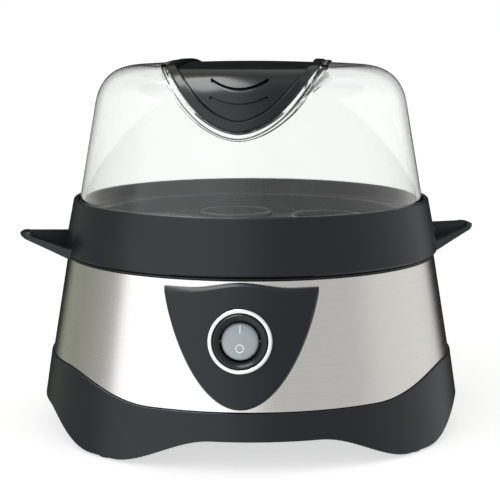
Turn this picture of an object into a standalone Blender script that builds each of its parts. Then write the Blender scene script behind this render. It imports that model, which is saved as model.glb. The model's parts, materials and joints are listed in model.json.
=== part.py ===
"""Seven-egg electric egg cooker, as an assembly of its separate pieces.

Units are metres, +Z is up. The origin is on the table under the middle of the base,
the switch panel faces -Y and +X is to its right. Angles round the body are measured
from the front (-Y) towards the right (+X).
"""
import math

import bmesh
import bpy
from mathutils import Matrix, Vector

GAP = 0.0003                 # kept between pieces that touch
STEPS = 44                   # facets round a large turned piece
WAVE_STEPS = 60              # facets round the base, whose edges are waves
SMALL_STEPS = 20             # facets round a small turned piece
SHARP_ANGLE = math.radians(35)

# Turns about the vertical axis, front towards right
BASE_TURN = math.radians(6.5)    # foot pattern of the base against the switch panel
RING_TURN = math.radians(12)     # loose steaming ring, with its handles and the tray in it
LID_TURN = math.radians(-1.5)    # loose lid

# Base: two cones and the waves that bound them
SKIRT_RADIUS = 0.09305           # black skirt, measured at the table
SKIRT_SLOPE = 0.1515             # radius lost for each unit of height
SLEEVE_RADIUS = 0.0928           # steel sleeve's cone, measured at the table
SLEEVE_SLOPE = 0.1667
SLEEVE_WALL = 0.0006
SLEEVE_TOP = 0.0742
FOOT_ANGLE = math.radians(44.8)
FOOT_FLAT = math.radians(4)      # half the foot's flat stretch
FOOT_RISE = math.radians(27)     # stretch over which the edge climbs to the arch
FOOT_BOTTOM = 0.0008
ARCH_HEIGHT = 0.0123
SKIRT_TOP_LOW = 0.0235           # upper edge at front and rear
SKIRT_TOP_HIGH = 0.0323          # upper edge at the sides
TOP_WAVE_START = math.radians(31)
TOP_WAVE_RISE = math.radians(34)
SKIRT_WALL = 0.0026
FOOT_BLOCK = 0.0095              # extra thickness of a foot
FLANGE_INNER = 0.0750            # inward flange that the bottom plate screws to
FLANGE_BOTTOM = 0.0148
FLANGE_TOP = 0.0170
LIP_HEIGHT = 0.0060              # part of the skirt that stands behind the sleeve
LIP_WALL = 0.0020

# Bottom plate, feet, grommet
PLATE_RADIUS = 0.0795
PLATE_BOTTOM = 0.0125
PLATE_TOP = 0.0145
PAD_RADIUS = 0.0052
PAD_HEIGHT = 0.0027
PAD_CIRCLE = 0.0865
SCREW_CIRCLE = 0.0772
SCREW_HEAD_RADIUS = 0.0022
SCREW_SHANK_RADIUS = 0.0011
GROMMET_Y = 0.0600
GROMMET_RADIUS = 0.0062
CORD_HOLE_RADIUS = 0.0037
LEAD_RADIUS = 0.0011

# Top of the base
COLLAR_TOP = 0.0780
COLLAR_BOTTOM = 0.0725
COLLAR_SHELF = 0.0752
WATER_FLOOR = 0.0706
DISH_RADIUS = 0.0632
STUD_CIRCLE = 0.0560                 # studs under the plate, and their clamps
STUD_RADIUS = 0.0032
CLAMP_HALF_WIDTH = 0.0045

# Inside the base
ELEMENT_CIRCLE = 0.0380
ELEMENT_HEIGHT = 0.0646
ELEMENT_RADIUS = 0.0031
ELEMENT_START = math.radians(200)
ELEMENT_SWEEP = math.radians(320)
ELEMENT_TAIL_CIRCLE = 0.0370         # where the leads meet the element's tails
ELEMENT_TAIL_HEIGHT = 0.0534
BRACKET_SIZE = (0.036, 0.010, 0.0012)
BRACKET_HEIGHT = 0.0561
BRACKET_TURN = math.radians(40)
FUSE_RADIUS = 0.0021
FUSE_LENGTH = 0.0110
FUSE_PLACE = (0.0205, -0.0050, 0.0655)
FUSE_DIRECTION = (0.3, 0.95, 0)
BUZZER_PLACE = (0.036, 0.022, 0)
BLOCK_SIZE = (0.024, 0.010, 0.011)
BLOCK_PLACE = (-0.026, 0.044, 0.0203)

# Steaming ring
RING_BOTTOM = 0.0755
RING_TOP = 0.0989
RING_FOOT = 0.0762                   # height where the ring is widest
RING_RADIUS = 0.0820                 # and its radius there
RING_SLOPE = 0.1946
RING_LEDGE_TOP = 0.0899
RING_LEDGE_INNER = 0.0703
HANDLE_TIP = 0.1010
HANDLE_TOP = 0.0853
HANDLE_ROOT_HALF = 0.0185
HANDLE_TIP_HALF = 0.0050
HANDLE_TIP_THICKNESS = 0.0030
HANDLE_NOSE = 0.0020                 # rounded end beyond the straight underside
HANDLE_DROP = 0.0007                 # the root hangs this far below the ring
HANDLE_POCKET_START = 0.0815
HANDLE_POCKET_END = 0.0965
HANDLE_PLATE_ROOT = 0.0042           # thickness of the sloping plate
HANDLE_PLATE_TIP = 0.0024
HANDLE_WEB_HALF = 0.0020             # half the thickness of the upright web on it
HANDLE_WEB_FLARE = 0.0022            # what the web gains on each side towards the tip

# Egg tray
TRAY_FLANGE_RADIUS = 0.0727
TRAY_FLANGE_BOTTOM = 0.0902
TRAY_FLANGE_TOP = 0.0918
TRAY_WALL_RADIUS = 0.0697
TRAY_FLOOR_BOTTOM = 0.0825
TRAY_FLOOR_TOP = 0.0843
SEAT_CIRCLE = 0.0455
SEAT_RADIUS = 0.0155
SEAT_COLLAR_WALL = 0.0018
SEAT_COLLAR_TOP = 0.0868
OUTER_SEATS = 6

# Lid
LID_BOTTOM = 0.0902
LID_FOOT_RADIUS = 0.0752
LID_WALL_FOOT = (0.0749, 0.0989)     # where the straight wall begins, radius and height
LID_WALL_HEAD = (0.0678, 0.1394)
LID_CROWN_EDGE = (0.0480, 0.1564)
LID_SHOULDER_HANDLES = ((0.0660, 0.1500), (0.0600, 0.1560))
LID_CREST = 0.1580
LID_WALL = 0.0018
VENT_RADIUS = 0.0022

# Grip strap over the lid
STRAP_HALF_WIDTH = 0.0315
STRAP_END_LENGTH = 0.0360            # from a shield's point to where the strap is full width
STRAP_POINT_HEIGHT = 0.1314
STRAP_PROUD = 0.0013                 # border's height over the lid's own surface
STRAP_PANEL_DROP = 0.0016            # middle panel below the border
STRAP_BORDER = 0.0037
STRAP_RIM = 0.0024                   # clear rim moulded round the strap
STRAP_SEAT_DEPTH = 0.0024
STRAP_FIT = 0.0006                   # play between strap and seat
GROOVE_HALF_WIDTH = 0.0107
GROOVE_RADIUS = 0.0010
GROOVES = ((0.1478, 0.0034), (0.1417, 0.0027))   # height at the middle, rise to the ends
RAY_HEIGHT = 0.1100                  # centre that the strap's rays spread from
CROWN_ANGLE = math.radians(60)       # rays steeper than this meet the lid's flat crown
SHOULDER_ROWS = 9
CROWN_ROWS = 5

# Switch panel and switch
PANEL_HALF_WIDTH = 0.0309
PANEL_POINT_HEIGHT = 0.0247
PANEL_LENGTH = 0.0491
PANEL_FOOT_THICKNESS = 0.0014
PANEL_HEAD_THICKNESS = 0.0032
PANEL_TOP_DIP = 0.0022               # upper edge's corners below its middle
SWITCH_HEIGHT = 0.0517
SWITCH_HOLE_RADIUS = 0.0100
BOSS_RADIUS = 0.0136
TRIM_OUTER_RADIUS = 0.01265
TRIM_INNER_RADIUS = 0.01100
BEZEL_RADIUS = 0.01065
ROCKER_RADIUS = 0.0073
ROCKER_HOLE_RADIUS = 0.0081
ROCKER_PIVOT_DEPTH = 0.0008
ROCKER_TILT = math.radians(10)       # each way from the middle
PIN_RADIUS = 0.0008
TERMINAL_SIDE = 0.0048               # switch terminals left and right of the middle
TERMINAL_DEPTH = 0.0218
TERMINAL_SIZE = (0.0008, 0.0048, 0.0070)

BLACK = (0.018, 0.019, 0.021)
SOFT_BLACK = (0.010, 0.010, 0.011)


# ---------------------------------------------------------------- helpers

def clear_scene():
    for obj in list(bpy.data.objects):
        bpy.data.objects.remove(obj, do_unlink=True)


def new_collection(name, hidden=False):
    collection = bpy.data.collections.new(name)
    bpy.context.scene.collection.children.link(collection)
    collection.hide_render = hidden
    return collection


def new_material(name, colour, roughness, metallic=0.0, alpha=1.0):
    material = bpy.data.materials.new(name)
    material.use_nodes = True
    shader = material.node_tree.nodes["Principled BSDF"]
    shader.inputs["Base Color"].default_value = (*colour, 1.0)
    shader.inputs["Roughness"].default_value = roughness
    shader.inputs["Metallic"].default_value = metallic
    shader.inputs["Alpha"].default_value = alpha
    material.diffuse_color = (*colour, alpha)
    return material


def add_object(name, data, material, collection=None):
    obj = bpy.data.objects.new(name, data)
    (collection or PARTS).objects.link(obj)
    if material:
        data.materials.append(material)
    return obj


def mark_as_cutter(obj):
    obj.hide_render = True
    obj.display_type = "WIRE"
    return obj


def shade_round(mesh):
    mesh.shade_smooth()
    mesh.set_sharp_from_angle(angle=SHARP_ANGLE)


def mesh_from_bmesh(name, bm):
    bmesh.ops.recalc_face_normals(bm, faces=bm.faces)
    mesh = bpy.data.meshes.new(name)
    bm.to_mesh(mesh)
    bm.free()
    shade_round(mesh)
    return mesh


def turned(name, section, material, steps=STEPS, closed=True, collection=None):
    """A turned piece. The section lists (radius, height) and runs down its outer side.

    A closed section is a ring; an open one starts and ends on the axis."""
    mesh = bpy.data.meshes.new(name)
    points = [(radius, 0.0, height) for radius, height in section]
    edges = [(i, i + 1) for i in range(len(points) - 1)]
    if closed:
        edges.append((len(points) - 1, 0))
    mesh.from_pydata(points, edges, [])
    obj = add_object(name, mesh, material, collection)
    screw = obj.modifiers.new("Screw", "SCREW")
    screw.steps = steps
    screw.render_steps = steps
    screw.use_merge_vertices = True
    screw.merge_threshold = 0.00001
    screw.use_smooth_shade = True
    return obj


def loft(name, loops, material, round_trip=False, collection=None):
    """Joins loops of equally many points by a skin. Its ends are capped unless it closes on itself."""
    bm = bmesh.new()
    rows = [[bm.verts.new(point) for point in loop] for loop in loops]
    count = len(rows[0])
    pairs = list(zip(rows, rows[1:]))
    if round_trip:
        pairs.append((rows[-1], rows[0]))
    for row, following in pairs:
        for i in range(count):
            j = (i + 1) % count
            bm.faces.new((row[i], row[j], following[j], following[i]))
    if not round_trip:
        bm.faces.new(rows[0])
        bm.faces.new(rows[-1])
    return add_object(name, mesh_from_bmesh(name, bm), material, collection)


def slab(name, lower, upper, material, collection=None):
    """A plate between two grids of points with the same rows and columns."""
    bm = bmesh.new()
    low = [[bm.verts.new(point) for point in row] for row in lower]
    high = [[bm.verts.new(point) for point in row] for row in upper]
    rows, columns = len(low), len(low[0])
    for i in range(rows - 1):
        for j in range(columns - 1):
            for grid in (low, high):
                bm.faces.new((grid[i][j], grid[i + 1][j], grid[i + 1][j + 1], grid[i][j + 1]))
    border = [(0, j) for j in range(columns)]
    border += [(i, columns - 1) for i in range(1, rows)]
    border += [(rows - 1, j) for j in range(columns - 2, -1, -1)]
    border += [(i, 0) for i in range(rows - 2, 0, -1)]
    for (i, j), (k, m) in zip(border, border[1:] + border[:1]):
        bm.faces.new((low[i][j], low[k][m], high[k][m], high[i][j]))
    return add_object(name, mesh_from_bmesh(name, bm), material, collection)


def cylinder(name, radius, depth, centre, material=None, axis=(0, 0, 1), segments=SMALL_STEPS,
             collection=None):
    """A cylinder along the given direction."""
    bm = bmesh.new()
    bmesh.ops.create_cone(bm, cap_ends=True, segments=segments, radius1=radius, radius2=radius, depth=depth)
    mesh = mesh_from_bmesh(name, bm)
    obj = add_object(name, mesh, material, collection)
    obj.rotation_mode = "QUATERNION"
    obj.rotation_quaternion = Vector((0, 0, 1)).rotation_difference(Vector(axis))
    obj.location = centre
    return obj


def box(name, size, centre, material=None, collection=None, turn=0.0, bevel=0.0):
    bm = bmesh.new()
    bmesh.ops.create_cube(bm, size=1.0, matrix=Matrix.Diagonal((*size, 1.0)))
    mesh = mesh_from_bmesh(name, bm)
    obj = add_object(name, mesh, material, collection)
    obj.location = centre
    obj.rotation_euler = (0, 0, turn)
    if bevel:
        edge = obj.modifiers.new("Bevel", "BEVEL")
        edge.width = bevel
        edge.segments = 1
    return obj


def boolean(target, operand, operation="DIFFERENCE", solver="EXACT"):
    modifier = target.modifiers.new(operation.title(), "BOOLEAN")
    modifier.operation = operation
    modifier.solver = solver
    modifier.object = operand
    mark_as_cutter(operand)
    return modifier


def wire(name, points, radius, material, pieces=4):
    """A round wire along a smooth path through the points."""
    curve = bpy.data.curves.new(name, "CURVE")
    curve.dimensions = "3D"
    curve.bevel_depth = radius
    curve.bevel_resolution = 2
    curve.use_fill_caps = True
    path = smooth_path([Vector(p) for p in points], pieces)
    spline = curve.splines.new("POLY")
    spline.points.add(len(path) - 1)
    for target, point in zip(spline.points, path):
        target.co = (*point, 1.0)
    return add_object(name, curve, material)


def smooth_path(points, pieces):
    """Catmull-Rom curve through the points."""
    ends = [points[0] * 2 - points[1], *points, points[-1] * 2 - points[-2]]
    path = []
    for a, b, c, d in zip(ends, ends[1:], ends[2:], ends[3:]):
        for k in range(pieces):
            t = k / pieces
            path.append(0.5 * (2 * b + (c - a) * t + (2 * a - 5 * b + 4 * c - d) * t * t
                               + (3 * b - a - 3 * c + d) * t ** 3))
    path.append(points[-1])
    return path


def place_copies(name, mesh, places, material):
    """Identical pieces that share a mesh, numbered from 1."""
    mesh.materials.append(material)
    for number, place in enumerate(places, 1):
        add_object(f"{name}_{number}", mesh, None).matrix_world = place


def turned_mesh(section, steps):
    """The mesh of a small turned solid whose section starts and ends on the axis."""
    bm = bmesh.new()
    verts = [bm.verts.new((radius, 0, height)) for radius, height in section]
    edges = [bm.edges.new(pair) for pair in zip(verts, verts[1:])]
    bmesh.ops.spin(bm, geom=verts + edges, cent=(0, 0, 0), axis=(0, 0, 1),
                   angle=math.tau, steps=steps, use_merge=True)
    bmesh.ops.remove_doubles(bm, verts=bm.verts, dist=0.000005)
    return mesh_from_bmesh("turned", bm)


def smoothstep(t):
    t = min(max(t, 0.0), 1.0)
    return t * t * (3 - 2 * t)


def round_point(radius, angle, height):
    return Vector((radius * math.sin(angle), -radius * math.cos(angle), height))


def interpolate(value, pairs):
    """Straight-line reading of a table of (x, y) sorted by x."""
    for (x0, y0), (x1, y1) in zip(pairs, pairs[1:]):
        if value <= x1:
            return y0 + (y1 - y0) * (value - x0) / (x1 - x0)
    return pairs[-1][1]


# ---------------------------------------------------------------- base shell

def skirt_radius(height):
    return SKIRT_RADIUS - SKIRT_SLOPE * height


def sleeve_radius(height):
    return SLEEVE_RADIUS - SLEEVE_SLOPE * height


def folded_angle(angle):
    """Angle from the nearest of front and rear, 0 to 90 degrees."""
    return abs((angle + math.pi / 2) % math.pi - math.pi / 2)


def foot_share(angle):
    """0 at the middle of a foot, 1 along an arch."""
    away = abs(folded_angle(angle) - FOOT_ANGLE)
    return smoothstep((away - FOOT_FLAT) / FOOT_RISE)


def skirt_bottom(angle):
    return FOOT_BOTTOM + (ARCH_HEIGHT - FOOT_BOTTOM) * foot_share(angle)


def skirt_top(angle):
    rise = smoothstep((folded_angle(angle) - TOP_WAVE_START) / TOP_WAVE_RISE)
    return SKIRT_TOP_LOW + (SKIRT_TOP_HIGH - SKIRT_TOP_LOW) * rise


def base_section(angle):
    """The base moulding's outline at one angle, as (radius, height)."""
    top, bottom = skirt_top(angle), skirt_bottom(angle)
    edge = 0.0006
    lip_top = top + LIP_HEIGHT
    behind = SLEEVE_WALL + GAP
    inner_foot = skirt_radius(bottom) - SKIRT_WALL - FOOT_BLOCK * (1 - foot_share(angle))
    inner_wall = sleeve_radius(FLANGE_TOP) - behind - LIP_WALL
    return [
        (skirt_radius(top) - edge, top),
        (skirt_radius(top - edge), top - edge),
        (skirt_radius(bottom + edge), bottom + edge),
        (skirt_radius(bottom) - edge, bottom),
        (inner_foot, bottom),
        (inner_foot, FLANGE_BOTTOM),
        (FLANGE_INNER, FLANGE_BOTTOM),
        (FLANGE_INNER, FLANGE_TOP),
        (inner_wall, FLANGE_TOP),
        (sleeve_radius(lip_top) - behind - LIP_WALL, lip_top),
        (sleeve_radius(lip_top) - behind, lip_top),
        (sleeve_radius(top) - behind, top),
    ]


def sleeve_section(angle):
    low = skirt_top(angle) + GAP
    return [
        (sleeve_radius(SLEEVE_TOP), SLEEVE_TOP),
        (sleeve_radius(low), low),
        (sleeve_radius(low) - SLEEVE_WALL, low),
        (sleeve_radius(SLEEVE_TOP) - SLEEVE_WALL, SLEEVE_TOP),
    ]


def wavy_ring(name, section, material, turn):
    """A ring whose section changes with the angle."""
    loops = []
    for k in range(WAVE_STEPS):
        angle = math.tau * k / WAVE_STEPS
        loops.append([round_point(radius, angle, height) for radius, height in section(angle)])
    obj = loft(name, loops, material, round_trip=True)
    obj.rotation_euler = (0, 0, turn)
    return obj


def foot_places(radius, height):
    """The four foot positions, with the base's turn."""
    angles = [FOOT_ANGLE, math.pi - FOOT_ANGLE, math.pi + FOOT_ANGLE, -FOOT_ANGLE]
    return [round_point(radius, angle + BASE_TURN, height) for angle in angles]


def screw_places(height):
    """Four screws on the arches, clear of the feet."""
    angles = [BASE_TURN + k * math.pi / 2 for k in range(4)]
    return [round_point(SCREW_CIRCLE, angle, height) for angle in angles]


def screw_section():
    """A pan-head screw, point down, with the underside of its head at height 0."""
    return [(0, 0.0014), (SCREW_HEAD_RADIUS * 0.7, 0.0013), (SCREW_HEAD_RADIUS, 0.0006),
            (SCREW_HEAD_RADIUS, 0), (SCREW_SHANK_RADIUS, 0),
            (SCREW_SHANK_RADIUS, -0.0036), (0, -0.0044)]


def build_base_shell():
    base = wavy_ring("base_foot", base_section, MAT["black_plastic"], BASE_TURN)
    wavy_ring("steel_sleeve", sleeve_section, MAT["steel"], BASE_TURN)
    for number, place in enumerate(foot_places(PAD_CIRCLE, 0), 1):
        pocket = cylinder(f"pad_pocket_{number}", PAD_RADIUS + GAP, 0.006,
                          place + Vector((0, 0, PAD_HEIGHT + GAP - 0.003)), collection=CUTTERS)
        boolean(base, pocket)
        turned(f"rubber_foot_{number}", [(0, PAD_HEIGHT), (PAD_RADIUS, PAD_HEIGHT), (PAD_RADIUS, 0.0005),
                                         (PAD_RADIUS - 0.0005, 0), (0, 0)],
               MAT["rubber"], steps=SMALL_STEPS, closed=False).location = place
    for number, place in enumerate(screw_places(PLATE_TOP), 1):
        boolean(base, cylinder(f"base_screw_hole_{number}", SCREW_SHANK_RADIUS + GAP, 0.008, place,
                               segments=12, collection=CUTTERS))


def build_bottom():
    plate = turned("bottom_plate", [(0, PLATE_TOP), (PLATE_RADIUS, PLATE_TOP),
                                    (PLATE_RADIUS, PLATE_BOTTOM + 0.0005),
                                    (PLATE_RADIUS - 0.0005, PLATE_BOTTOM), (0, PLATE_BOTTOM)],
                   MAT["black_plastic"], closed=False)
    boolean(plate, cylinder("grommet_hole", GROMMET_RADIUS, 0.01, (0, GROMMET_Y, PLATE_TOP),
                            collection=CUTTERS))
    for number, place in enumerate(screw_places(PLATE_TOP), 1):
        boolean(plate, cylinder(f"plate_screw_hole_{number}", SCREW_SHANK_RADIUS + GAP, 0.008, place,
                                segments=12, collection=CUTTERS))
    flip = Matrix.Rotation(math.pi, 4, "X")
    places = [Matrix.Translation(place) @ flip for place in screw_places(PLATE_BOTTOM - GAP)]
    place_copies("bottom_screw", turned_mesh(screw_section(), 8), places, MAT["screw_steel"])
    neck = GROMMET_RADIUS - GAP
    bead = GROMMET_RADIUS + 0.0014
    grommet = turned("cord_grommet", [
        (CORD_HOLE_RADIUS, PLATE_TOP + 0.0022), (bead, PLATE_TOP + 0.0020), (bead, PLATE_TOP + GAP),
        (neck, PLATE_TOP + GAP), (neck, PLATE_BOTTOM - GAP), (bead, PLATE_BOTTOM - GAP),
        (bead, PLATE_BOTTOM - 0.0018), (CORD_HOLE_RADIUS + 0.0012, PLATE_BOTTOM - 0.0060),
        (CORD_HOLE_RADIUS, PLATE_BOTTOM - 0.0060)], MAT["rubber"], steps=SMALL_STEPS)
    grommet.location = (0, GROMMET_Y, 0)


def build_top_of_base():
    turned("top_collar", [
        (0.0768, COLLAR_TOP), (0.0783, COLLAR_TOP), (0.0783, COLLAR_SHELF), (0.0806, COLLAR_SHELF),
        (0.0806, 0.0745), (0.0791, 0.0745), (0.0791, COLLAR_BOTTOM), (0.0720, COLLAR_BOTTOM),
        (0.0720, 0.0746), (0.0768, 0.0746)], MAT["black_plastic"])
    turned("plate_gasket", [(0.0726, 0.0761), (0.0763, 0.0761), (0.0763, 0.0749), (0.0726, 0.0749)],
           MAT["silicone"])
    plate = turned("heating_plate", [
        (0, WATER_FLOOR), (DISH_RADIUS, WATER_FLOOR), (0.0716, 0.0776), (0.0764, 0.0776),
        (0.0764, 0.0764), (0.0712, 0.0764), (0.0626, 0.0684), (0, 0.0684)],
        MAT["plate_coating"], closed=False)
    for number, angle in enumerate(clamp_angles(), 1):
        stud = cylinder(f"plate_stud_{number}", STUD_RADIUS, 0.0080,
                        round_point(STUD_CIRCLE, angle, 0.0660), segments=12, collection=CUTTERS)
        boolean(plate, stud, "UNION")


# ---------------------------------------------------------------- inside the base

def clamp_angles():
    return [math.radians(60) + k * math.tau / 3 for k in range(3)]


def build_clamps():
    """Three L-shaped clamps hang on the plate's studs and hook under the collar."""
    bm = bmesh.new()
    outline = [(0.0520, 0.0602), (0.0750, 0.0602), (0.0750, 0.0721), (0.0736, 0.0721),
               (0.0736, 0.0616), (0.0520, 0.0616)]
    faces = []
    for side in (-CLAMP_HALF_WIDTH, CLAMP_HALF_WIDTH):
        faces.append(bm.faces.new([bm.verts.new((radius, side, height)) for radius, height in outline]))
    lower, upper = (list(face.verts) for face in faces)
    for i in range(len(outline)):
        j = (i + 1) % len(outline)
        bm.faces.new((lower[i], lower[j], upper[j], upper[i]))
    clamp = mesh_from_bmesh("clamp", bm)
    turns = [Matrix.Rotation(angle - math.pi / 2, 4, "Z") for angle in clamp_angles()]
    place_copies("plate_clamp", clamp, turns, MAT["zinc"])
    flip = Matrix.Rotation(math.pi, 4, "X")
    places = [Matrix.Translation(round_point(STUD_CIRCLE, angle, 0.0599)) @ flip
              for angle in clamp_angles()]
    head = [(0, 0.0014), (0.0018, 0.0012), (0.0024, 0.0006), (0.0024, 0), (0, 0)]
    place_copies("clamp_screw", turned_mesh(head, 8), places, MAT["screw_steel"])


def build_heater():
    """A heating element bent into most of a circle, the thermostat inside it and the fuse beside it."""
    turns = [ELEMENT_START + ELEMENT_SWEEP * k / 16 for k in range(17)]
    path = [round_point(ELEMENT_CIRCLE, angle, ELEMENT_HEIGHT) for angle in turns]
    tail = [(0.0375, 0.0610), (ELEMENT_TAIL_CIRCLE, 0.0545)]
    lead_in = math.radians(7)
    first = [round_point(r, turns[0] - lead_in, z) for r, z in reversed(tail)]
    last = [round_point(r, turns[-1] + lead_in, z) for r, z in tail]
    wire("heating_element", first + path + last, ELEMENT_RADIUS, MAT["element_steel"], pieces=2)
    turned("thermostat", [(0, 0.0681), (0.0070, 0.0681), (0.0070, 0.0655), (0.0090, 0.0655),
                          (0.0090, 0.0590), (0.0060, 0.0570), (0, 0.0570)],
           MAT["phenolic"], steps=SMALL_STEPS, closed=False)
    box("thermostat_bracket", BRACKET_SIZE, (0, 0, BRACKET_HEIGHT), MAT["zinc"], turn=BRACKET_TURN)
    cylinder("thermal_fuse", FUSE_RADIUS, FUSE_LENGTH, FUSE_PLACE, MAT["brass"],
             axis=FUSE_DIRECTION, segments=12)


def build_base_electrics():
    turned("buzzer", [(0, 0.0238), (0.0030, 0.0238), (0.0030, 0.0232), (0.0110, 0.0232),
                      (0.0110, 0.0148), (0, 0.0148)],
           MAT["phenolic"], steps=SMALL_STEPS, closed=False).location = BUZZER_PLACE
    box("terminal_block", BLOCK_SIZE, BLOCK_PLACE, MAT["nylon"], bevel=0.0008)
    back = switch_point(0, 0, -0.0280)
    end_a = round_point(ELEMENT_TAIL_CIRCLE, math.radians(193), ELEMENT_TAIL_HEIGHT)
    end_b = round_point(ELEMENT_TAIL_CIRCLE, math.radians(167), ELEMENT_TAIL_HEIGHT)
    wire("lead_block_to_switch", [
        (-0.0320, 0.0383, 0.0220), (-0.0340, 0.0290, 0.0225), (-0.0330, 0.0050, 0.0240),
        (-0.0230, -0.0230, 0.0300), (-0.0085, -0.0400, 0.0380), back + Vector((-TERMINAL_SIDE, 0.0015, 0))],
        LEAD_RADIUS, MAT["lead_brown"])
    wire("lead_switch_to_element", [
        back + Vector((TERMINAL_SIDE, 0.0015, 0)), (0.0100, -0.0380, 0.0390), (0.0200, -0.0100, 0.0420),
        (0.0180, 0.0180, 0.0470), end_b + Vector((0.0010, 0, -0.0045)), end_b],
        LEAD_RADIUS, MAT["lead_grey"])
    wire("lead_block_to_element", [
        (-0.0190, 0.0383, 0.0220), (-0.0180, 0.0310, 0.0240), (-0.0130, 0.0280, 0.0340),
        end_a + Vector((-0.0010, 0, -0.0080)), end_a], LEAD_RADIUS, MAT["lead_blue"])


# ---------------------------------------------------------------- switch

def switch_frame():
    """Where the switch's face meets the panel: u across, v up the panel, w straight out."""
    slope = math.atan(SLEEVE_SLOPE - (PANEL_HEAD_THICKNESS - PANEL_FOOT_THICKNESS) / PANEL_LENGTH)
    out = Vector((0, -math.cos(slope), math.sin(slope)))
    up = Vector((0, math.sin(slope), math.cos(slope)))
    across = Vector((1, 0, 0))
    origin = Vector((0, -panel_radius(SWITCH_HEIGHT), SWITCH_HEIGHT)) + out * 0.0002
    return Matrix(((across.x, up.x, out.x, origin.x), (across.y, up.y, out.y, origin.y),
                   (across.z, up.z, out.z, origin.z), (0, 0, 0, 1)))


def switch_point(u, v, w):
    return switch_frame() @ Vector((u, v, w))


def panel_low_edge(x):
    share = min(abs(x) / PANEL_HALF_WIDTH, 1.0)
    return PANEL_POINT_HEIGHT + PANEL_LENGTH * (1 - (1 - share ** 2) ** 0.7)


def panel_top_edge(x):
    """The upper edge is higher in the middle."""
    share = abs(x) / PANEL_HALF_WIDTH
    return PANEL_POINT_HEIGHT + PANEL_LENGTH - PANEL_TOP_DIP * smoothstep(share * 1.5)


def panel_radius(height):
    """Radius of the panel's face, which stands steeper than the sleeve behind it."""
    share = (height - PANEL_POINT_HEIGHT) / PANEL_LENGTH
    thickness = PANEL_FOOT_THICKNESS + (PANEL_HEAD_THICKNESS - PANEL_FOOT_THICKNESS) * share
    return sleeve_radius(height) + GAP + thickness


def panel_back_radius(height):
    return sleeve_radius(height) + GAP


def panel_grid(radius_at, columns=17, rows=7):
    grid = []
    for i in range(columns):
        x = PANEL_HALF_WIDTH * 0.985 * math.sin(math.pi / 2 * (2 * i / (columns - 1) - 1))
        low, high = panel_low_edge(x), panel_top_edge(x)
        column = []
        for j in range(rows):
            z = low + (high - low) * j / (rows - 1)
            radius = radius_at(z)
            column.append((x, -math.sqrt(radius * radius - x * x), z))
        grid.append(column)
    return grid


def build_switch_panel():
    panel = slab("switch_panel", panel_grid(panel_back_radius), panel_grid(panel_radius),
                 MAT["black_plastic"])
    out = switch_frame().to_3x3() @ Vector((0, 0, 1))
    boss = cylinder("panel_boss", BOSS_RADIUS, 0.0013, switch_point(0, 0, -0.00065), axis=out,
                    segments=32, collection=CUTTERS)
    boolean(panel, boss, "UNION")
    hole = cylinder("switch_hole", SWITCH_HOLE_RADIUS, 0.030, switch_point(0, 0, -0.005), axis=out,
                    segments=32, collection=CUTTERS)
    boolean(panel, hole)
    boolean(bpy.data.objects["steel_sleeve"], hole)


def place_on_switch(obj):
    obj.matrix_world = switch_frame()
    return obj


def build_switch():
    place_on_switch(turned("switch_ring", [
        (TRIM_INNER_RADIUS, 0.0012), (TRIM_INNER_RADIUS + 0.0004, 0.0016),
        (TRIM_OUTER_RADIUS - 0.0004, 0.0016), (TRIM_OUTER_RADIUS, 0.0012),
        (TRIM_OUTER_RADIUS, GAP), (TRIM_INNER_RADIUS, GAP)], MAT["trim"], steps=40))
    barrel = SWITCH_HOLE_RADIUS - 0.0004
    body = place_on_switch(turned("switch_body", [
        (0, -0.0080), (ROCKER_HOLE_RADIUS, -0.0080), (ROCKER_HOLE_RADIUS, 0.0004),
        (BEZEL_RADIUS - 0.0008, 0.0021), (BEZEL_RADIUS, 0.0016), (BEZEL_RADIUS, GAP),
        (barrel, GAP), (barrel, -0.0180), (0, -0.0180)],
        MAT["switch_black"], steps=32, closed=False))
    pivot = switch_point(0, 0, -ROCKER_PIVOT_DEPTH)
    pin_hole = cylinder("pin_hole", PIN_RADIUS + GAP, 0.0180, pivot, axis=(1, 0, 0), segments=12,
                        collection=CUTTERS)
    boolean(body, pin_hole)
    cylinder("rocker_pin", PIN_RADIUS, 0.0176, pivot, MAT["switch_black"], axis=(1, 0, 0), segments=12)
    face, back = 0.0025, -0.0030
    rocker = turned("rocker", [
        (0, face + 0.0003), (ROCKER_RADIUS * 0.55, face), (ROCKER_RADIUS - 0.0006, face - 0.0004),
        (ROCKER_RADIUS, face - 0.0012), (ROCKER_RADIUS, back + 0.0014),
        (ROCKER_RADIUS - 0.0008, back), (0, back)],
        MAT["rocker_grey"], steps=32, closed=False)
    rocker.matrix_world = (Matrix.Translation(pivot) @ switch_frame().to_3x3().to_4x4()
                           @ Matrix.Rotation(-ROCKER_TILT, 4, "X"))
    boolean(rocker, pin_hole)
    blades = bpy.data.meshes.new("blade")
    bm = bmesh.new()
    bmesh.ops.create_cube(bm, size=1.0, matrix=Matrix.Diagonal((*TERMINAL_SIZE, 1.0)))
    bm.to_mesh(blades)
    bm.free()
    sides = (-TERMINAL_SIDE, TERMINAL_SIDE)
    places = [switch_frame() @ Matrix.Translation((x, 0, -TERMINAL_DEPTH)) for x in sides]
    place_copies("switch_terminal", blades, places, MAT["brass"])


# ---------------------------------------------------------------- steaming ring

def ring_radius(height):
    return RING_RADIUS - RING_SLOPE * (height - RING_FOOT)


def handle_low(x):
    """Height of the handle's underside at a distance from the ring's axis."""
    root, tip = RING_BOTTOM - HANDLE_DROP, HANDLE_TOP - HANDLE_TIP_THICKNESS
    climb_end = HANDLE_TIP - HANDLE_NOSE
    share = (x - HANDLE_POCKET_START) / (climb_end - HANDLE_POCKET_START)
    return root + (tip - root) * max(0.0, share)


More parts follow.
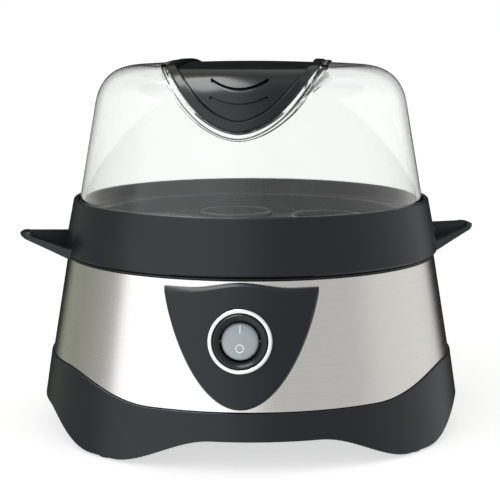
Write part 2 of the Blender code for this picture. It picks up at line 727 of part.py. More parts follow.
def handle_solid(side):
    """A pointed wing: level on top, its underside climbing from the ring's foot to the tip."""
    root_x, tip_x = 0.0775, HANDLE_TIP
    bevel = 0.0006

    def section(x, half, low):
        half_in, low_in, top_in = half - bevel, low + bevel, HANDLE_TOP - bevel
        corners = [(-half, top_in), (-half_in, HANDLE_TOP), (half_in, HANDLE_TOP), (half, top_in),
                   (half, low_in), (half_in, low), (-half_in, low), (-half, low_in)]
        return [(side * x, y, z) for y, z in corners]

    loops = []
    for k in range(7):
        t = k / 6
        x = root_x + (tip_x - HANDLE_NOSE - root_x) * t
        half = HANDLE_ROOT_HALF + (HANDLE_TIP_HALF - HANDLE_ROOT_HALF) * t ** 0.8
        loops.append(section(x, half, handle_low(x)))
    low_tip = HANDLE_TOP - HANDLE_TIP_THICKNESS
    loops.append(section(tip_x - 0.0006, HANDLE_TIP_HALF * 0.72, low_tip + 0.0004))
    loops.append(section(tip_x, HANDLE_TIP_HALF * 0.40, low_tip + 0.0010))
    return loft(f"handle_solid_{side}", loops, None, collection=CUTTERS)


def handle_pocket(side, front):
    """The hollow beside the handle's web, over its sloping plate, open above."""
    start, end = HANDLE_POCKET_START, HANDLE_POCKET_END
    outline = [(0.0800, HANDLE_TOP + 0.0010), (end + 0.0005, HANDLE_TOP + 0.0010),
               (end, handle_low(end) + HANDLE_PLATE_TIP), (start, handle_low(start) + HANDLE_PLATE_ROOT),
               (0.0800, handle_low(start) + HANDLE_PLATE_ROOT)]
    flare = HANDLE_WEB_FLARE / (end - start)
    way = -1 if front else 1
    inner = [(side * x, way * (HANDLE_WEB_HALF + flare * (x - start)), z) for x, z in outline]
    outer = [(x, way * 0.0300, z) for x, y, z in inner]
    return loft(f"handle_pocket_{side}_{front}", [inner, outer], None, collection=CUTTERS)


def build_steaming_ring():
    ring = turned("steamer_ring", [
        (0.0759, RING_TOP), (0.0773, RING_TOP), (ring_radius(0.0984), 0.0984), (RING_RADIUS, 0.0763),
        (RING_RADIUS - 0.0005, RING_BOTTOM + 0.0002), (RING_RADIUS - 0.0014, RING_BOTTOM),
        (0.0790, RING_BOTTOM), (0.0788, 0.0800), (0.0780, 0.0848), (RING_LEDGE_INNER, 0.0876),
        (RING_LEDGE_INNER, RING_LEDGE_TOP), (0.0759, RING_LEDGE_TOP), (0.0756, 0.0986)],
        MAT["black_plastic"])
    depth = 0.0013
    step = RING_BOTTOM + 0.0004
    bore = turned("handle_root_bore", [
        (0, 0.0900), (ring_radius(0.0900) - depth, 0.0900), (ring_radius(step) - depth, step),
        (RING_RADIUS, step), (RING_RADIUS, 0.0700), (0, 0.0700)],
        None, closed=False, collection=CUTTERS)
    for side in (-1, 1):
        solid = handle_solid(side)
        for front in (True, False):
            boolean(solid, handle_pocket(side, front))
        boolean(solid, bore)
        boolean(ring, solid, "UNION")
    ring.rotation_euler = (0, 0, RING_TURN)
    for cutter in [o for o in CUTTERS.objects if o.name.startswith("handle_")]:
        cutter.rotation_euler = (0, 0, RING_TURN)


def build_tray():
    tray = turned("egg_tray", [
        (0, TRAY_FLOOR_TOP), (0.0679, TRAY_FLOOR_TOP), (0.0679, TRAY_FLANGE_TOP),
        (TRAY_FLANGE_RADIUS, TRAY_FLANGE_TOP), (TRAY_FLANGE_RADIUS, TRAY_FLANGE_BOTTOM),
        (TRAY_WALL_RADIUS, TRAY_FLANGE_BOTTOM), (TRAY_WALL_RADIUS, TRAY_FLOOR_BOTTOM),
        (0, TRAY_FLOOR_BOTTOM)], MAT["black_plastic"], closed=False)
    for number, place in enumerate(seat_places(), 1):
        collar = cylinder(f"seat_collar_{number}", SEAT_RADIUS + SEAT_COLLAR_WALL,
                          SEAT_COLLAR_TOP - TRAY_FLOOR_BOTTOM - 0.0009,
                          place + Vector((0, 0, (SEAT_COLLAR_TOP + TRAY_FLOOR_BOTTOM + 0.0009) / 2)),
                          collection=CUTTERS)
        boolean(tray, collar, "UNION")
    for number, place in enumerate(seat_places(), 1):
        boolean(tray, cylinder(f"seat_hole_{number}", SEAT_RADIUS, 0.020,
                               place + Vector((0, 0, TRAY_FLOOR_TOP)), collection=CUTTERS))


def seat_places():
    outer = [RING_TURN + k * math.tau / OUTER_SEATS for k in range(OUTER_SEATS)]
    return [Vector((0, 0, 0))] + [round_point(SEAT_CIRCLE, angle, 0) for angle in outer]


# ---------------------------------------------------------------- lid

def lid_profile(shoulder_points=7):
    """The lid's outer side, from the crest down to its lower edge, as (radius, height)."""
    edge_r, edge_z = LID_CROWN_EDGE
    crown = [(edge_r * k / 3, LID_CREST - (LID_CREST - edge_z) * (k / 3) ** 2) for k in range(3)]
    a, d = Vector(LID_CROWN_EDGE), Vector(LID_WALL_HEAD)
    c, b = Vector(LID_SHOULDER_HANDLES[0]), Vector(LID_SHOULDER_HANDLES[1])
    shoulder = []
    for k in range(shoulder_points):
        t = k / (shoulder_points - 1)
        point = a * (1 - t) ** 3 + 3 * b * t * (1 - t) ** 2 + 3 * c * t * t * (1 - t) + d * t ** 3
        shoulder.append(tuple(point))
    return crown + shoulder + [LID_WALL_FOOT, (LID_FOOT_RADIUS, 0.0965), (LID_FOOT_RADIUS, LID_BOTTOM)]


def offset_profile(profile, distance):
    """The profile moved along its own normals, outwards when distance is positive."""
    moved = []
    for i, (radius, height) in enumerate(profile):
        before = Vector(profile[max(i - 1, 0)])
        after = Vector(profile[min(i + 1, len(profile) - 1)])
        along = (after - before).normalized()
        normal = Vector((-along.y, along.x))
        if i == 0:
            normal = Vector((0, 1))
        if i == len(profile) - 1:
            normal = Vector((1, 0))
        moved.append((max(radius + normal.x * distance, 0.0), height + normal.y * distance))
    return moved


def lid_point(x, angle, offset, profile):
    """Where a ray in the plane at x, at this angle above the front, meets the offset lid."""
    moved = [(height, radius) for radius, height in reversed(offset_profile(profile, offset))]
    near, far = 0.0, 0.12
    for _ in range(40):
        middle = (near + far) / 2
        y, z = -middle * math.cos(angle), RAY_HEIGHT + middle * math.sin(angle)
        inside = z < moved[-1][0] and math.hypot(x, y) < interpolate(z, moved)
        near, far = (middle, far) if inside else (near, middle)
    return Vector((x, -near * math.cos(angle), RAY_HEIGHT + near * math.sin(angle)))


def meridian(profile):
    """Length along the profile up from the strap's point, against radius and height."""
    points = [Vector(p) for p in reversed(profile)]
    heights = [(p.y, p.x) for p in points]
    start = Vector((interpolate(STRAP_POINT_HEIGHT, heights), STRAP_POINT_HEIGHT))
    path = [start] + [p for p in points if p.y > STRAP_POINT_HEIGHT]
    lengths = [0.0]
    for a, b in zip(path, path[1:]):
        lengths.append(lengths[-1] + (b - a).length)
    return list(zip(lengths, [p.x for p in path])), list(zip(lengths, [p.y for p in path]))


def strap_end_angle(x, grow, profile):
    """Angle of the strap's outline in the plane at x; grow widens the outline."""
    radii, heights = meridian(profile)
    width, length = STRAP_HALF_WIDTH + grow, STRAP_END_LENGTH + grow
    share = min(abs(x) / width, 1.0)
    along = length * (1 - (1 - share ** 1.8) ** 0.65) - grow
    if along < 0:
        radius = radii[0][1] - along * 0.17
        height = heights[0][1] + along * 0.985
    else:
        radius, height = interpolate(along, radii), interpolate(along, heights)
    return math.atan2(height - RAY_HEIGHT, math.sqrt(max(radius * radius - x * x, 1e-8)))


def strap_angles(start):
    """Ray angles from the strap's front end to its rear end, closer together over the shoulders."""
    front = [start + (CROWN_ANGLE - start) * k / SHOULDER_ROWS for k in range(SHOULDER_ROWS)]
    crown = math.pi - 2 * CROWN_ANGLE
    middle = [CROWN_ANGLE + crown * k / CROWN_ROWS for k in range(CROWN_ROWS + 1)]
    return front + middle + [math.pi - angle for angle in reversed(front)]


def strap_grid(grow, offset, columns=13):
    """Points of the strap's area on the lid, front point to rear point; grow widens the area."""
    profile = lid_profile()
    grid = []
    for i in range(columns):
        x = (STRAP_HALF_WIDTH + grow) * math.sin(math.pi / 2 * 0.97 * (2 * i / (columns - 1) - 1))
        angles = strap_angles(strap_end_angle(x, grow, profile))
        grid.append([lid_point(x, angle, offset, profile) for angle in angles])
    return grid


def strap_slab(name, grow, low, high, material=None, collection=None):
    return slab(name, strap_grid(grow, low), strap_grid(grow, high), material, collection)


def groove(name, middle, rise, rear):
    """A curved groove, deeper in the middle of the panel than at its ends."""
    profile = [(height, radius) for radius, height in reversed(lid_profile())]
    points = []
    for k in range(9):
        x = GROOVE_HALF_WIDTH * (k / 4 - 1)
        z = middle + rise * (x / GROOVE_HALF_WIDTH) ** 2
        radius = interpolate(z, profile) + STRAP_PROUD - STRAP_PANEL_DROP + 0.0002
        y = -math.sqrt(radius * radius - x * x)
        points.append(Vector((x, -y if rear else y, z)))
    loops = []
    for i, point in enumerate(points):
        along = (points[min(i + 1, 8)] - points[max(i - 1, 0)]).normalized()
        out = Vector((point.x, point.y, 0)).normalized()
        side = along.cross(out).normalized()
        out = side.cross(along)
        ring = [math.tau * k / 8 for k in range(8)]
        loops.append([point + (side * math.cos(a) + out * math.sin(a)) * GROOVE_RADIUS for a in ring])
    return loft(name, loops, None, collection=CUTTERS)


def build_lid():
    profile = lid_profile()
    inner = list(reversed(offset_profile(profile, -LID_WALL)))
    inner[-1] = (0, inner[-1][1])
    outer = [(0, profile[0][1])] + profile[1:]
    section = outer + [(inner[0][0], LID_BOTTOM)] + inner[1:]
    lid = turned("lid_shell", section, MAT["clear_plastic"], closed=False)
    lid.rotation_euler = (0, 0, math.pi / STEPS + LID_TURN)
    pad = strap_slab("strap_pad", STRAP_RIM + STRAP_FIT, -STRAP_SEAT_DEPTH - LID_WALL, STRAP_PROUD * 0.7,
                     collection=CUTTERS)
    boolean(lid, pad, "UNION", solver="MANIFOLD")
    seat = strap_slab("strap_seat", STRAP_FIT, -STRAP_SEAT_DEPTH, 0.0050, collection=CUTTERS)
    boolean(lid, seat, solver="MANIFOLD")
    grip = strap_slab("lid_grip", 0.0, -STRAP_SEAT_DEPTH + STRAP_FIT, STRAP_PROUD, MAT["grip_black"])
    panel = strap_slab("strap_panel", -STRAP_BORDER, STRAP_PROUD - STRAP_PANEL_DROP, 0.0040,
                       collection=CUTTERS)
    boolean(grip, panel)
    for rear in (False, True):
        for number, (middle, rise) in enumerate(GROOVES, 1):
            boolean(grip, groove(f"groove_{number}_{rear}", middle, rise, rear))
    vent = cylinder("vent_hole", VENT_RADIUS, 0.020, (0, 0, LID_CREST), segments=16, collection=CUTTERS)
    boolean(lid, vent, solver="MANIFOLD")
    boolean(grip, vent)
    for name in ("strap_", "groove_"):
        for cutter in [o for o in CUTTERS.objects if o.name.startswith(name)]:
            cutter.rotation_euler = (0, 0, LID_TURN)
    grip.rotation_euler = (0, 0, LID_TURN)


# ---------------------------------------------------------------- assembly

def make_materials():
    return {
        "black_plastic": new_material("black_plastic", BLACK, 0.42),
        "grip_black": new_material("grip_black", BLACK, 0.30),
        "switch_black": new_material("switch_black", SOFT_BLACK, 0.35),
        "steel": new_material("brushed_steel", (0.62, 0.61, 0.58), 0.32, metallic=1.0),
        "clear_plastic": new_material("clear_plastic", (0.92, 0.95, 0.94), 0.04, alpha=0.25),
        "plate_coating": new_material("plate_coating", (0.05, 0.05, 0.055), 0.5, metallic=0.3),
        "silicone": new_material("silicone", (0.30, 0.30, 0.30), 0.6),
        "rubber": new_material("rubber", SOFT_BLACK, 0.8),
        "trim": new_material("switch_trim", (0.86, 0.87, 0.88), 0.12, metallic=0.6),
        "rocker_grey": new_material("rocker_grey", (0.42, 0.46, 0.49), 0.35),
        "brass": new_material("brass", (0.72, 0.55, 0.25), 0.3, metallic=1.0),
        "screw_steel": new_material("screw_steel", (0.55, 0.55, 0.55), 0.3, metallic=1.0),
        "zinc": new_material("zinc", (0.60, 0.61, 0.62), 0.4, metallic=1.0),
        "element_steel": new_material("element_steel", (0.35, 0.34, 0.33), 0.45, metallic=1.0),
        "phenolic": new_material("phenolic", (0.03, 0.025, 0.02), 0.5),
        "nylon": new_material("nylon", (0.80, 0.79, 0.74), 0.5),
        "lead_grey": new_material("lead_grey", (0.30, 0.30, 0.31), 0.5),
        "lead_blue": new_material("lead_blue", (0.05, 0.12, 0.45), 0.5),
        "lead_brown": new_material("lead_brown", (0.18, 0.08, 0.04), 0.5),
    }


clear_scene()
PARTS = new_collection("egg_cooker")
CUTTERS = new_collection("cutters", hidden=True)
MAT = make_materials()
build_base_shell()
build_bottom()
build_top_of_base()
build_clamps()
build_heater()
build_base_electrics()
build_switch_panel()
build_switch()
build_steaming_ring()
build_tray()
build_lid()
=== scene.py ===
"""Looks of the seven-egg cooker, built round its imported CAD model.

Units are metres, +Z is up and the switch panel faces -Y. Angles round the body are measured
from the front (-Y) towards the right (+X). The driving sizes below are the CAD model's own.
"""
import json
import math

import bmesh
import bpy
import numpy as np
from mathutils import Matrix, Vector


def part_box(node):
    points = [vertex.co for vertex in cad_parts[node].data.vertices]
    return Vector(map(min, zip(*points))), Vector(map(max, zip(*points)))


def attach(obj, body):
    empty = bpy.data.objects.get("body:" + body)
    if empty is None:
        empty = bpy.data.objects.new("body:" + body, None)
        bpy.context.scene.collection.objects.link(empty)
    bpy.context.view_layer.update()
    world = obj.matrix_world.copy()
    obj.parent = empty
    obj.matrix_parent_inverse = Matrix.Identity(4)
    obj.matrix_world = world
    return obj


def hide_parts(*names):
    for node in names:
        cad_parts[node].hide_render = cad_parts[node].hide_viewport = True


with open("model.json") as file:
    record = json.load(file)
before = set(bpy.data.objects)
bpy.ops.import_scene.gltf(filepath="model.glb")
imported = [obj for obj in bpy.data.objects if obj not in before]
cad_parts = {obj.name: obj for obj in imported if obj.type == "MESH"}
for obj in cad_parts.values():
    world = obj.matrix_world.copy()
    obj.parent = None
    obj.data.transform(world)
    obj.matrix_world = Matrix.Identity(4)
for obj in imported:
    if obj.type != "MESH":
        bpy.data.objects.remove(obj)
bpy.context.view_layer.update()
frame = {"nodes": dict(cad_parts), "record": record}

# Fineness
TURN_STEPS = 240             # facets round a large turned piece
SMALL_STEPS = 64             # facets round a small one
FILLET_STEPS = 4
SHARP_ANGLE = math.radians(38)

GAP = 0.0003
BASE_TURN = math.radians(6.5)
RING_TURN = math.radians(12)
LID_TURN = math.radians(-1.5)

# Base
SKIRT_RADIUS, SKIRT_SLOPE = 0.09305, 0.1515
SLEEVE_RADIUS, SLEEVE_SLOPE = 0.0928, 0.1667
SLEEVE_WALL = 0.0006
SLEEVE_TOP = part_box("steel_sleeve")[1].z
FOOT_ANGLE, FOOT_FLAT, FOOT_RISE = math.radians(44.8), math.radians(4), math.radians(27)
FOOT_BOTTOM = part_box("base_foot")[0].z
ARCH_HEIGHT = 0.0123
SKIRT_TOP_LOW, SKIRT_TOP_HIGH = 0.0235, 0.0323
TOP_WAVE_START, TOP_WAVE_RISE = math.radians(31), math.radians(34)
SKIRT_WALL = 0.0026
FOOT_BLOCK = 0.0095
FLANGE_INNER, FLANGE_BOTTOM, FLANGE_TOP = 0.0750, 0.0148, 0.0170
LIP_HEIGHT, LIP_WALL = 0.0060, 0.0020
PLATE_RINGS, PLATE_RING_DEPTH = (0.0700, 0.0440, 0.0240), 0.0008   # grooves under the bottom plate
CORD_HOLE_RADIUS, GROMMET_BEAD = 0.0037, 0.0017
SCREW_SLOT_RADIUS = 0.0004
WATER_FLOOR, DISH_RADIUS = 0.0706, 0.0632
STUD_CIRCLE, STUD_RADIUS, STUD_LENGTH, STUD_FOOT = 0.0560, 0.0032, 0.0080, 0.0620
STUD_ANGLE = math.radians(60)

# Steaming ring and its handles
RING_BOTTOM_FACE, RING_TOP = 0.0755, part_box("steamer_ring")[1].z
RING_FOOT, RING_RADIUS, RING_SLOPE = 0.0762, 0.0820, 0.1946     # widest at its foot
RING_LEDGE_INNER, RING_LEDGE_TOP = 0.0703, 0.0899
HANDLE_ROOT, HANDLE_TIP, HANDLE_TOP = 0.0775, 0.1010, 0.0853
HANDLE_ROOT_HALF, HANDLE_TIP_HALF = 0.0185, 0.0050
HANDLE_TIP_THICKNESS, HANDLE_DROP, HANDLE_NOSE = 0.0030, 0.0007, 0.0020
HANDLE_POCKET_START, HANDLE_POCKET_END = 0.0815, 0.0965
HANDLE_PLATE_ROOT, HANDLE_PLATE_TIP = 0.0042, 0.0024
HANDLE_WEB_HALF, HANDLE_WEB_FLARE = 0.0020, 0.0022

# Egg tray
TRAY_FLANGE_RADIUS, TRAY_FLANGE_BOTTOM, TRAY_FLANGE_TOP = 0.0727, 0.0902, 0.0918
TRAY_WALL_RADIUS, TRAY_WALL = 0.0697, 0.0018
TRAY_FLOOR_BOTTOM, TRAY_FLOOR_TOP = 0.0825, 0.0843
SEAT_CIRCLE, SEAT_RADIUS, SEAT_WALL, SEAT_TOP = 0.0455, 0.0155, 0.0018, 0.0868
OUTER_SEATS = 6

# Lid and its grip strap
LID_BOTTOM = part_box("lid_shell")[0].z
LID_FOOT_RADIUS, LID_FOOT_TOP = 0.0752, 0.0965
LID_WALL_FOOT, LID_WALL_HEAD = (0.0749, 0.0989), (0.0678, 0.1394)
LID_CROWN_EDGE, LID_CREST = (0.0480, 0.1564), 0.1580
LID_SHOULDER_HANDLES = ((0.0660, 0.1500), (0.0600, 0.1560))
LID_WALL = 0.0018
VENT_RADIUS = 0.0022
STRAP_HALF_WIDTH, STRAP_END_LENGTH, STRAP_POINT_HEIGHT = 0.0315, 0.0360, 0.1314
STRAP_PROUD, STRAP_PANEL_DROP, STRAP_BORDER = 0.0013, 0.0016, 0.0037
STRAP_RIM, STRAP_SEAT_DEPTH, STRAP_FIT = 0.0024, 0.0024, 0.0006
STRAP_CHANNEL_WIDTH, STRAP_CHANNEL_DEPTH = 0.0009, 0.0008     # fine line between border and panel
STRAP_SOFTNESS = 0.0006
STRAP_COLUMNS, SHIELD_ROWS, CROWN_ROWS = 81, 80, 24
GROOVES = ((0.1478, 0.0034), (0.1417, 0.0027))   # height at the middle, rise to the ends
GROOVE_HALF_WIDTH, GROOVE_RADIUS, GROOVE_DEPTH = 0.0107, 0.0009, 0.0010
GROOVE_STATIONS = 48
RAY_HEIGHT = 0.1100
CROWN_ANGLE = math.radians(60)

# Switch panel and switch
PANEL_HALF_WIDTH, PANEL_POINT_HEIGHT, PANEL_LENGTH = 0.0309, 0.0247, 0.0491
PANEL_FOOT_THICKNESS, PANEL_HEAD_THICKNESS = 0.0014, 0.0032
PANEL_TOP_DIP = 0.0022
PANEL_COLUMNS, PANEL_ROWS = 61, 40
SWITCH_HEIGHT = 0.0517
SWITCH_HOLE_RADIUS, BOSS_RADIUS, PIN_HOLE_RADIUS = 0.0100, 0.0136, 0.0011
MARK_OFF_RADIUS, MARK_WIDTH = 0.0017, 0.00042
MARK_OFF_PLACE, MARK_ON_PLACE = -0.0031, 0.0044    # along the rocker's face
TRIM_OUTER_RADIUS, TRIM_INNER_RADIUS = 0.01265, 0.01100
BEZEL_RADIUS, ROCKER_RADIUS, ROCKER_HOLE_RADIUS = 0.01065, 0.0073, 0.0081
ROCKER_PIVOT_DEPTH = 0.0008
ROCKER_TILT = math.radians(10)
ROCKER_FACE, ROCKER_BACK = 0.0025, -0.0030

# The room, as (degrees from the front towards the right, colour), and its dark wall
ROOM = [(-180, (0.42, 0.43, 0.40)), (-146, (0.32, 0.33, 0.27)), (-118, (0.29, 0.30, 0.25)),
        (-104, (0.34, 0.34, 0.31)), (-90, (0.42, 0.42, 0.40)), (-83, (0.55, 0.55, 0.54)),
        (-76, (1.35, 1.36, 1.38)), (-14, (1.35, 1.36, 1.38)), (14, (0.56, 0.55, 0.54)),
        (64, (0.58, 0.57, 0.56)), (84, (0.74, 0.73, 0.71)), (118, (0.80, 0.79, 0.77)),
        (134, (0.74, 0.73, 0.71)), (150, (0.42, 0.42, 0.40)), (180, (0.42, 0.43, 0.40))]
WALL = (0.01, 0.01, 0.01)

# Camera, as the object is usually photographed: slightly above, just right of the middle
CAMERA_DISTANCE, CAMERA_HEIGHT = 0.650, 0.1729
CAMERA_AZIMUTH, CAMERA_PITCH, CAMERA_YAW = math.radians(2.8), math.radians(8.34), math.radians(2.84)
CAMERA_LENS = 106.7


# ---------------------------------------------------------------- mesh helpers

def smoothstep(t):
    t = min(max(t, 0.0), 1.0)
    return t * t * (3 - 2 * t)


def round_point(radius, angle, height):
    return Vector((radius * math.sin(angle), -radius * math.cos(angle), height))


def rounded(corners):
    """An outline whose corners (x, y, reach) are softened over that reach on both sides."""
    points = []
    for i, (x, y, reach) in enumerate(corners):
        corner = Vector((x, y))
        if not reach:
            points.append(corner)
            continue
        before = (Vector(corners[i - 1][:2]) - corner).normalized() * reach
        after = (Vector(corners[(i + 1) % len(corners)][:2]) - corner).normalized() * reach
        for k in range(FILLET_STEPS + 1):
            t = k / FILLET_STEPS
            points.append(corner + before * (1 - t) ** 2 + after * t * t)
    return points


def object_from(name, bm):
    """Turns the bmesh into an object in the scene, its doubled points merged and its faces turned
    outwards.
    """
    bmesh.ops.remove_doubles(bm, verts=bm.verts, dist=1e-7)
    bmesh.ops.recalc_face_normals(bm, faces=bm.faces)
    mesh = bpy.data.meshes.new(name)
    bm.to_mesh(mesh)
    bm.free()
    obj = bpy.data.objects.new(name, mesh)
    bpy.context.scene.collection.objects.link(obj)
    return obj


def turned(name, section, steps=TURN_STEPS, closed=True):
    """A turned piece from (radius, height) points; an open section starts and ends on the axis."""
    bm = bmesh.new()
    rows = []
    for radius, height in section:
        if radius < 1e-6:
            rows.append([bm.verts.new((0, 0, height))] * steps)
        else:
            turns = [math.tau * k / steps for k in range(steps)]
            rows.append([bm.verts.new(round_point(radius, angle, height)) for angle in turns])
    pairs = list(zip(rows, rows[1:]))
    if closed:
        pairs.append((rows[-1], rows[0]))
    for low, high in pairs:
        for k in range(steps):
            m = (k + 1) % steps
            corners = list(dict.fromkeys((low[k], low[m], high[m], high[k])))
            if len(corners) > 2:
                bm.faces.new(corners)
    return object_from(name, bm)


def loft(name, loops, round_trip=False):
    """A skin over loops of equally many points, capped unless it closes on itself."""
    bm = bmesh.new()
    rows = [[bm.verts.new(point) for point in loop] for loop in loops]
    count = len(rows[0])
    pairs = list(zip(rows, rows[1:]))
    if round_trip:
        pairs.append((rows[-1], rows[0]))
    else:
        bm.faces.new(rows[0])
        bm.faces.new(rows[-1])
    for row, following in pairs:
        for i in range(count):
            j = (i + 1) % count
            bm.faces.new((row[i], row[j], following[j], following[i]))
    return object_from(name, bm)


def border(rows, columns):
    """Grid places round the edge of a grid, in order."""
    places = [(0, j) for j in range(columns)]
    places += [(i, columns - 1) for i in range(1, rows)]
    places += [(rows - 1, j) for j in range(columns - 2, -1, -1)]
    return places + [(i, 0) for i in range(rows - 2, 0, -1)]


def layered_plate(name, grids):
    """A plate whose edge runs through the borders of the grids; the first and last are filled."""
    bm = bmesh.new()
    rows, columns = grids[0].shape[:2]
    edge = border(rows, columns)
    filled = []
    for grid in (grids[0], grids[-1]):
        verts = [[bm.verts.new(point) for point in row] for row in grid]
        filled.append(verts)
        for i in range(rows - 1):
            for j in range(columns - 1):
                bm.faces.new((verts[i][j], verts[i + 1][j], verts[i + 1][j + 1], verts[i][j + 1]))
    loops = [[filled[0][i][j] for i, j in edge]]
    loops += [[bm.verts.new(grid[i][j]) for i, j in edge] for grid in grids[1:-1]]
    loops.append([filled[1][i][j] for i, j in edge])
    for low, high in zip(loops, loops[1:]):
        for k in range(len(edge)):
            m = (k + 1) % len(edge)
            bm.faces.new((low[k], low[m], high[m], high[k]))
    return object_from(name, bm)


def settle(obj):
    """Makes the result of the object's modifiers its own mesh."""
    graph = bpy.context.evaluated_depsgraph_get()
    mesh = bpy.data.meshes.new_from_object(obj.evaluated_get(graph))
    obj.modifiers.clear()
    obj.data = mesh


def combine(target, operand, operation="DIFFERENCE", solver="MANIFOLD"):
    """Cuts the operand from the target, or joins it, and removes the operand."""
    modifier = target.modifiers.new("Boolean", "BOOLEAN")
    modifier.operation = operation
    modifier.solver = solver
    modifier.object = operand
    settle(target)
    bpy.data.objects.remove(operand, do_unlink=True)


def rod(name, radius, start, end, steps=SMALL_STEPS):
    """A plain round cutter between two points."""
    start, end = Vector(start), Vector(end)
    along = end - start
    section = [(0, 0), (radius, 0), (radius, along.length), (0, along.length)]
    obj = turned(name, section, steps, closed=False)
    turn = Vector((0, 0, 1)).rotation_difference(along).to_matrix().to_4x4()
    obj.matrix_world = Matrix.Translation(start) @ turn
    return obj


def place(obj, matrix):
    obj.data.transform(matrix)
    return obj


def finished(obj, body, slot, material, *nodes):
    """Shades the piece, gives it its material, ties it to its body and hides the CAD nodes it stands in
    for.
    """
    obj.data.shade_smooth()
    obj.data.set_sharp_from_angle(angle=SHARP_ANGLE)
    weighted = obj.modifiers.new("Weighted normals", "WEIGHTED_NORMAL")
    weighted.keep_sharp = True
    obj.data.materials.clear()
    obj.data.materials.append(material)
    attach(obj, body)
    if nodes:
        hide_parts(*nodes)
    return obj


# ---------------------------------------------------------------- materials

class Nodes:
    """A material under construction: its node tree and its Principled shader."""

    def __init__(self, name, colour, roughness, metallic=0.0):
        self.material = bpy.data.materials.new(name)
        self.material.use_nodes = True
        self.material.diffuse_color = (*colour, 1.0)
        self.tree = self.material.node_tree
        self.shader = self.tree.nodes["Principled BSDF"]
        self.colour = colour
        self.shader.inputs["Base Color"].default_value = (*colour, 1.0)
        self.shader.inputs["Roughness"].default_value = roughness
        self.shader.inputs["Metallic"].default_value = metallic

    def add(self, kind, **values):
        node = self.tree.nodes.new(kind)
        for key, value in values.items():
            setattr(node, key, value)
        return node

    def link(self, source, target):
        self.tree.links.new(source, target)

    def noise(self, scale, detail=3.0, stretch=(1, 1, 1)):
        """Noise in the object's own space, scale being cells in a metre."""
        place_in = self.add("ShaderNodeTexCoord")
        mapping = self.add("ShaderNodeMapping")
        mapping.inputs["Scale"].default_value = stretch
        texture = self.add("ShaderNodeTexNoise")
        texture.inputs["Scale"].default_value = scale
        texture.inputs["Detail"].default_value = detail
        self.link(place_in.outputs["Object"], mapping.inputs["Vector"])
        self.link(mapping.outputs["Vector"], texture.inputs["Vector"])
        return texture.outputs["Fac"]

    def spread(self, value, low, high, socket):
        """Maps a 0 to 1 value onto low to high and feeds a shader socket."""
        mapped = self.add("ShaderNodeMapRange")
        mapped.inputs["To Min"].default_value = low
        mapped.inputs["To Max"].default_value = high
        self.link(value, mapped.inputs["Value"])
        self.link(mapped.outputs["Result"], self.shader.inputs[socket])

    def tint(self, value, amount):
        """Lets the base colour vary by that share either way."""
        ramp = self.add("ShaderNodeValToRGB")
        for element, share in zip(ramp.color_ramp.elements, (1 - amount, 1 + amount)):
            element.color = (*[min(channel * share, 1.0) for channel in self.colour], 1.0)
        self.link(value, ramp.inputs["Fac"])
        self.link(ramp.outputs["Color"], self.shader.inputs["Base Color"])

    def bump(self, value, strength, distance):
        node = self.add("ShaderNodeBump")
        node.inputs["Strength"].default_value = strength
        node.inputs["Distance"].default_value = distance
        self.link(value, node.inputs["Height"])
        self.link(node.outputs["Normal"], self.shader.inputs["Normal"])


def moulded(name, colour, roughness, grain=2600, depth=0.00002, bump=0.35, gloss=0.5):
    """Injection-moulded plastic: a fine grain, slightly uneven gloss and tint."""
    nodes = Nodes(name, colour, roughness)
    nodes.spread(nodes.noise(90), roughness - 0.05, roughness + 0.05, "Roughness")
    nodes.tint(nodes.noise(35), 0.10)
    nodes.bump(nodes.noise(grain, 4.0), bump, depth)
    nodes.shader.inputs["IOR"].default_value = 1.49
    nodes.shader.inputs["Specular IOR Level"].default_value = gloss
    return nodes.material


def brushed(name, colour, roughness, anisotropic=0.7):
    """Steel brushed round the body: streaks long round the axis and fine along it."""
    nodes = Nodes(name, colour, roughness, 1.0)
    streaks = nodes.noise(1.0, 6.0, (14, 14, 5200))
    nodes.spread(streaks, roughness - 0.10, roughness + 0.12, "Roughness")
    nodes.tint(nodes.noise(1.0, 3.0, (9, 9, 2400)), 0.06)
    nodes.bump(streaks, 0.25, 0.000015)
    nodes.shader.inputs["Anisotropic"].default_value = anisotropic
    nodes.shader.inputs["Anisotropic Rotation"].default_value = 0.25
    tangent = nodes.add("ShaderNodeTangent", direction_type="RADIAL", axis="Z")
    nodes.link(tangent.outputs["Tangent"], nodes.shader.inputs["Tangent"])
    return nodes.material


def clear_plastic(name):
    """Clear lid plastic with faint moulding waves."""
    nodes = Nodes(name, (0.985, 0.995, 0.990), 0.02)
    nodes.shader.inputs["Transmission Weight"].default_value = 1.0
    nodes.shader.inputs["IOR"].default_value = 1.49
    nodes.spread(nodes.noise(60), 0.015, 0.05, "Roughness")
    nodes.bump(nodes.noise(22, 2.0), 0.10, 0.0004)
    return nodes.material


def soft_rubber(name, colour):
    nodes = Nodes(name, colour, 0.8)
    nodes.spread(nodes.noise(300), 0.70, 0.92, "Roughness")
    nodes.tint(nodes.noise(120), 0.15)
    nodes.bump(nodes.noise(3200, 5.0), 0.5, 0.00004)
    nodes.shader.inputs["Sheen Weight"].default_value = 0.15
    return nodes.material


def metal(name, colour, roughness, grain=900):
    """Sheet metal or a plated part: patchy gloss and fine scratches."""
    nodes = Nodes(name, colour, roughness, 1.0)
    patches = nodes.noise(grain, 6.0)
    nodes.spread(patches, max(roughness - 0.08, 0.02), roughness + 0.12, "Roughness")
    nodes.tint(nodes.noise(160), 0.10)
    nodes.bump(patches, 0.12, 0.00002)
    return nodes.material


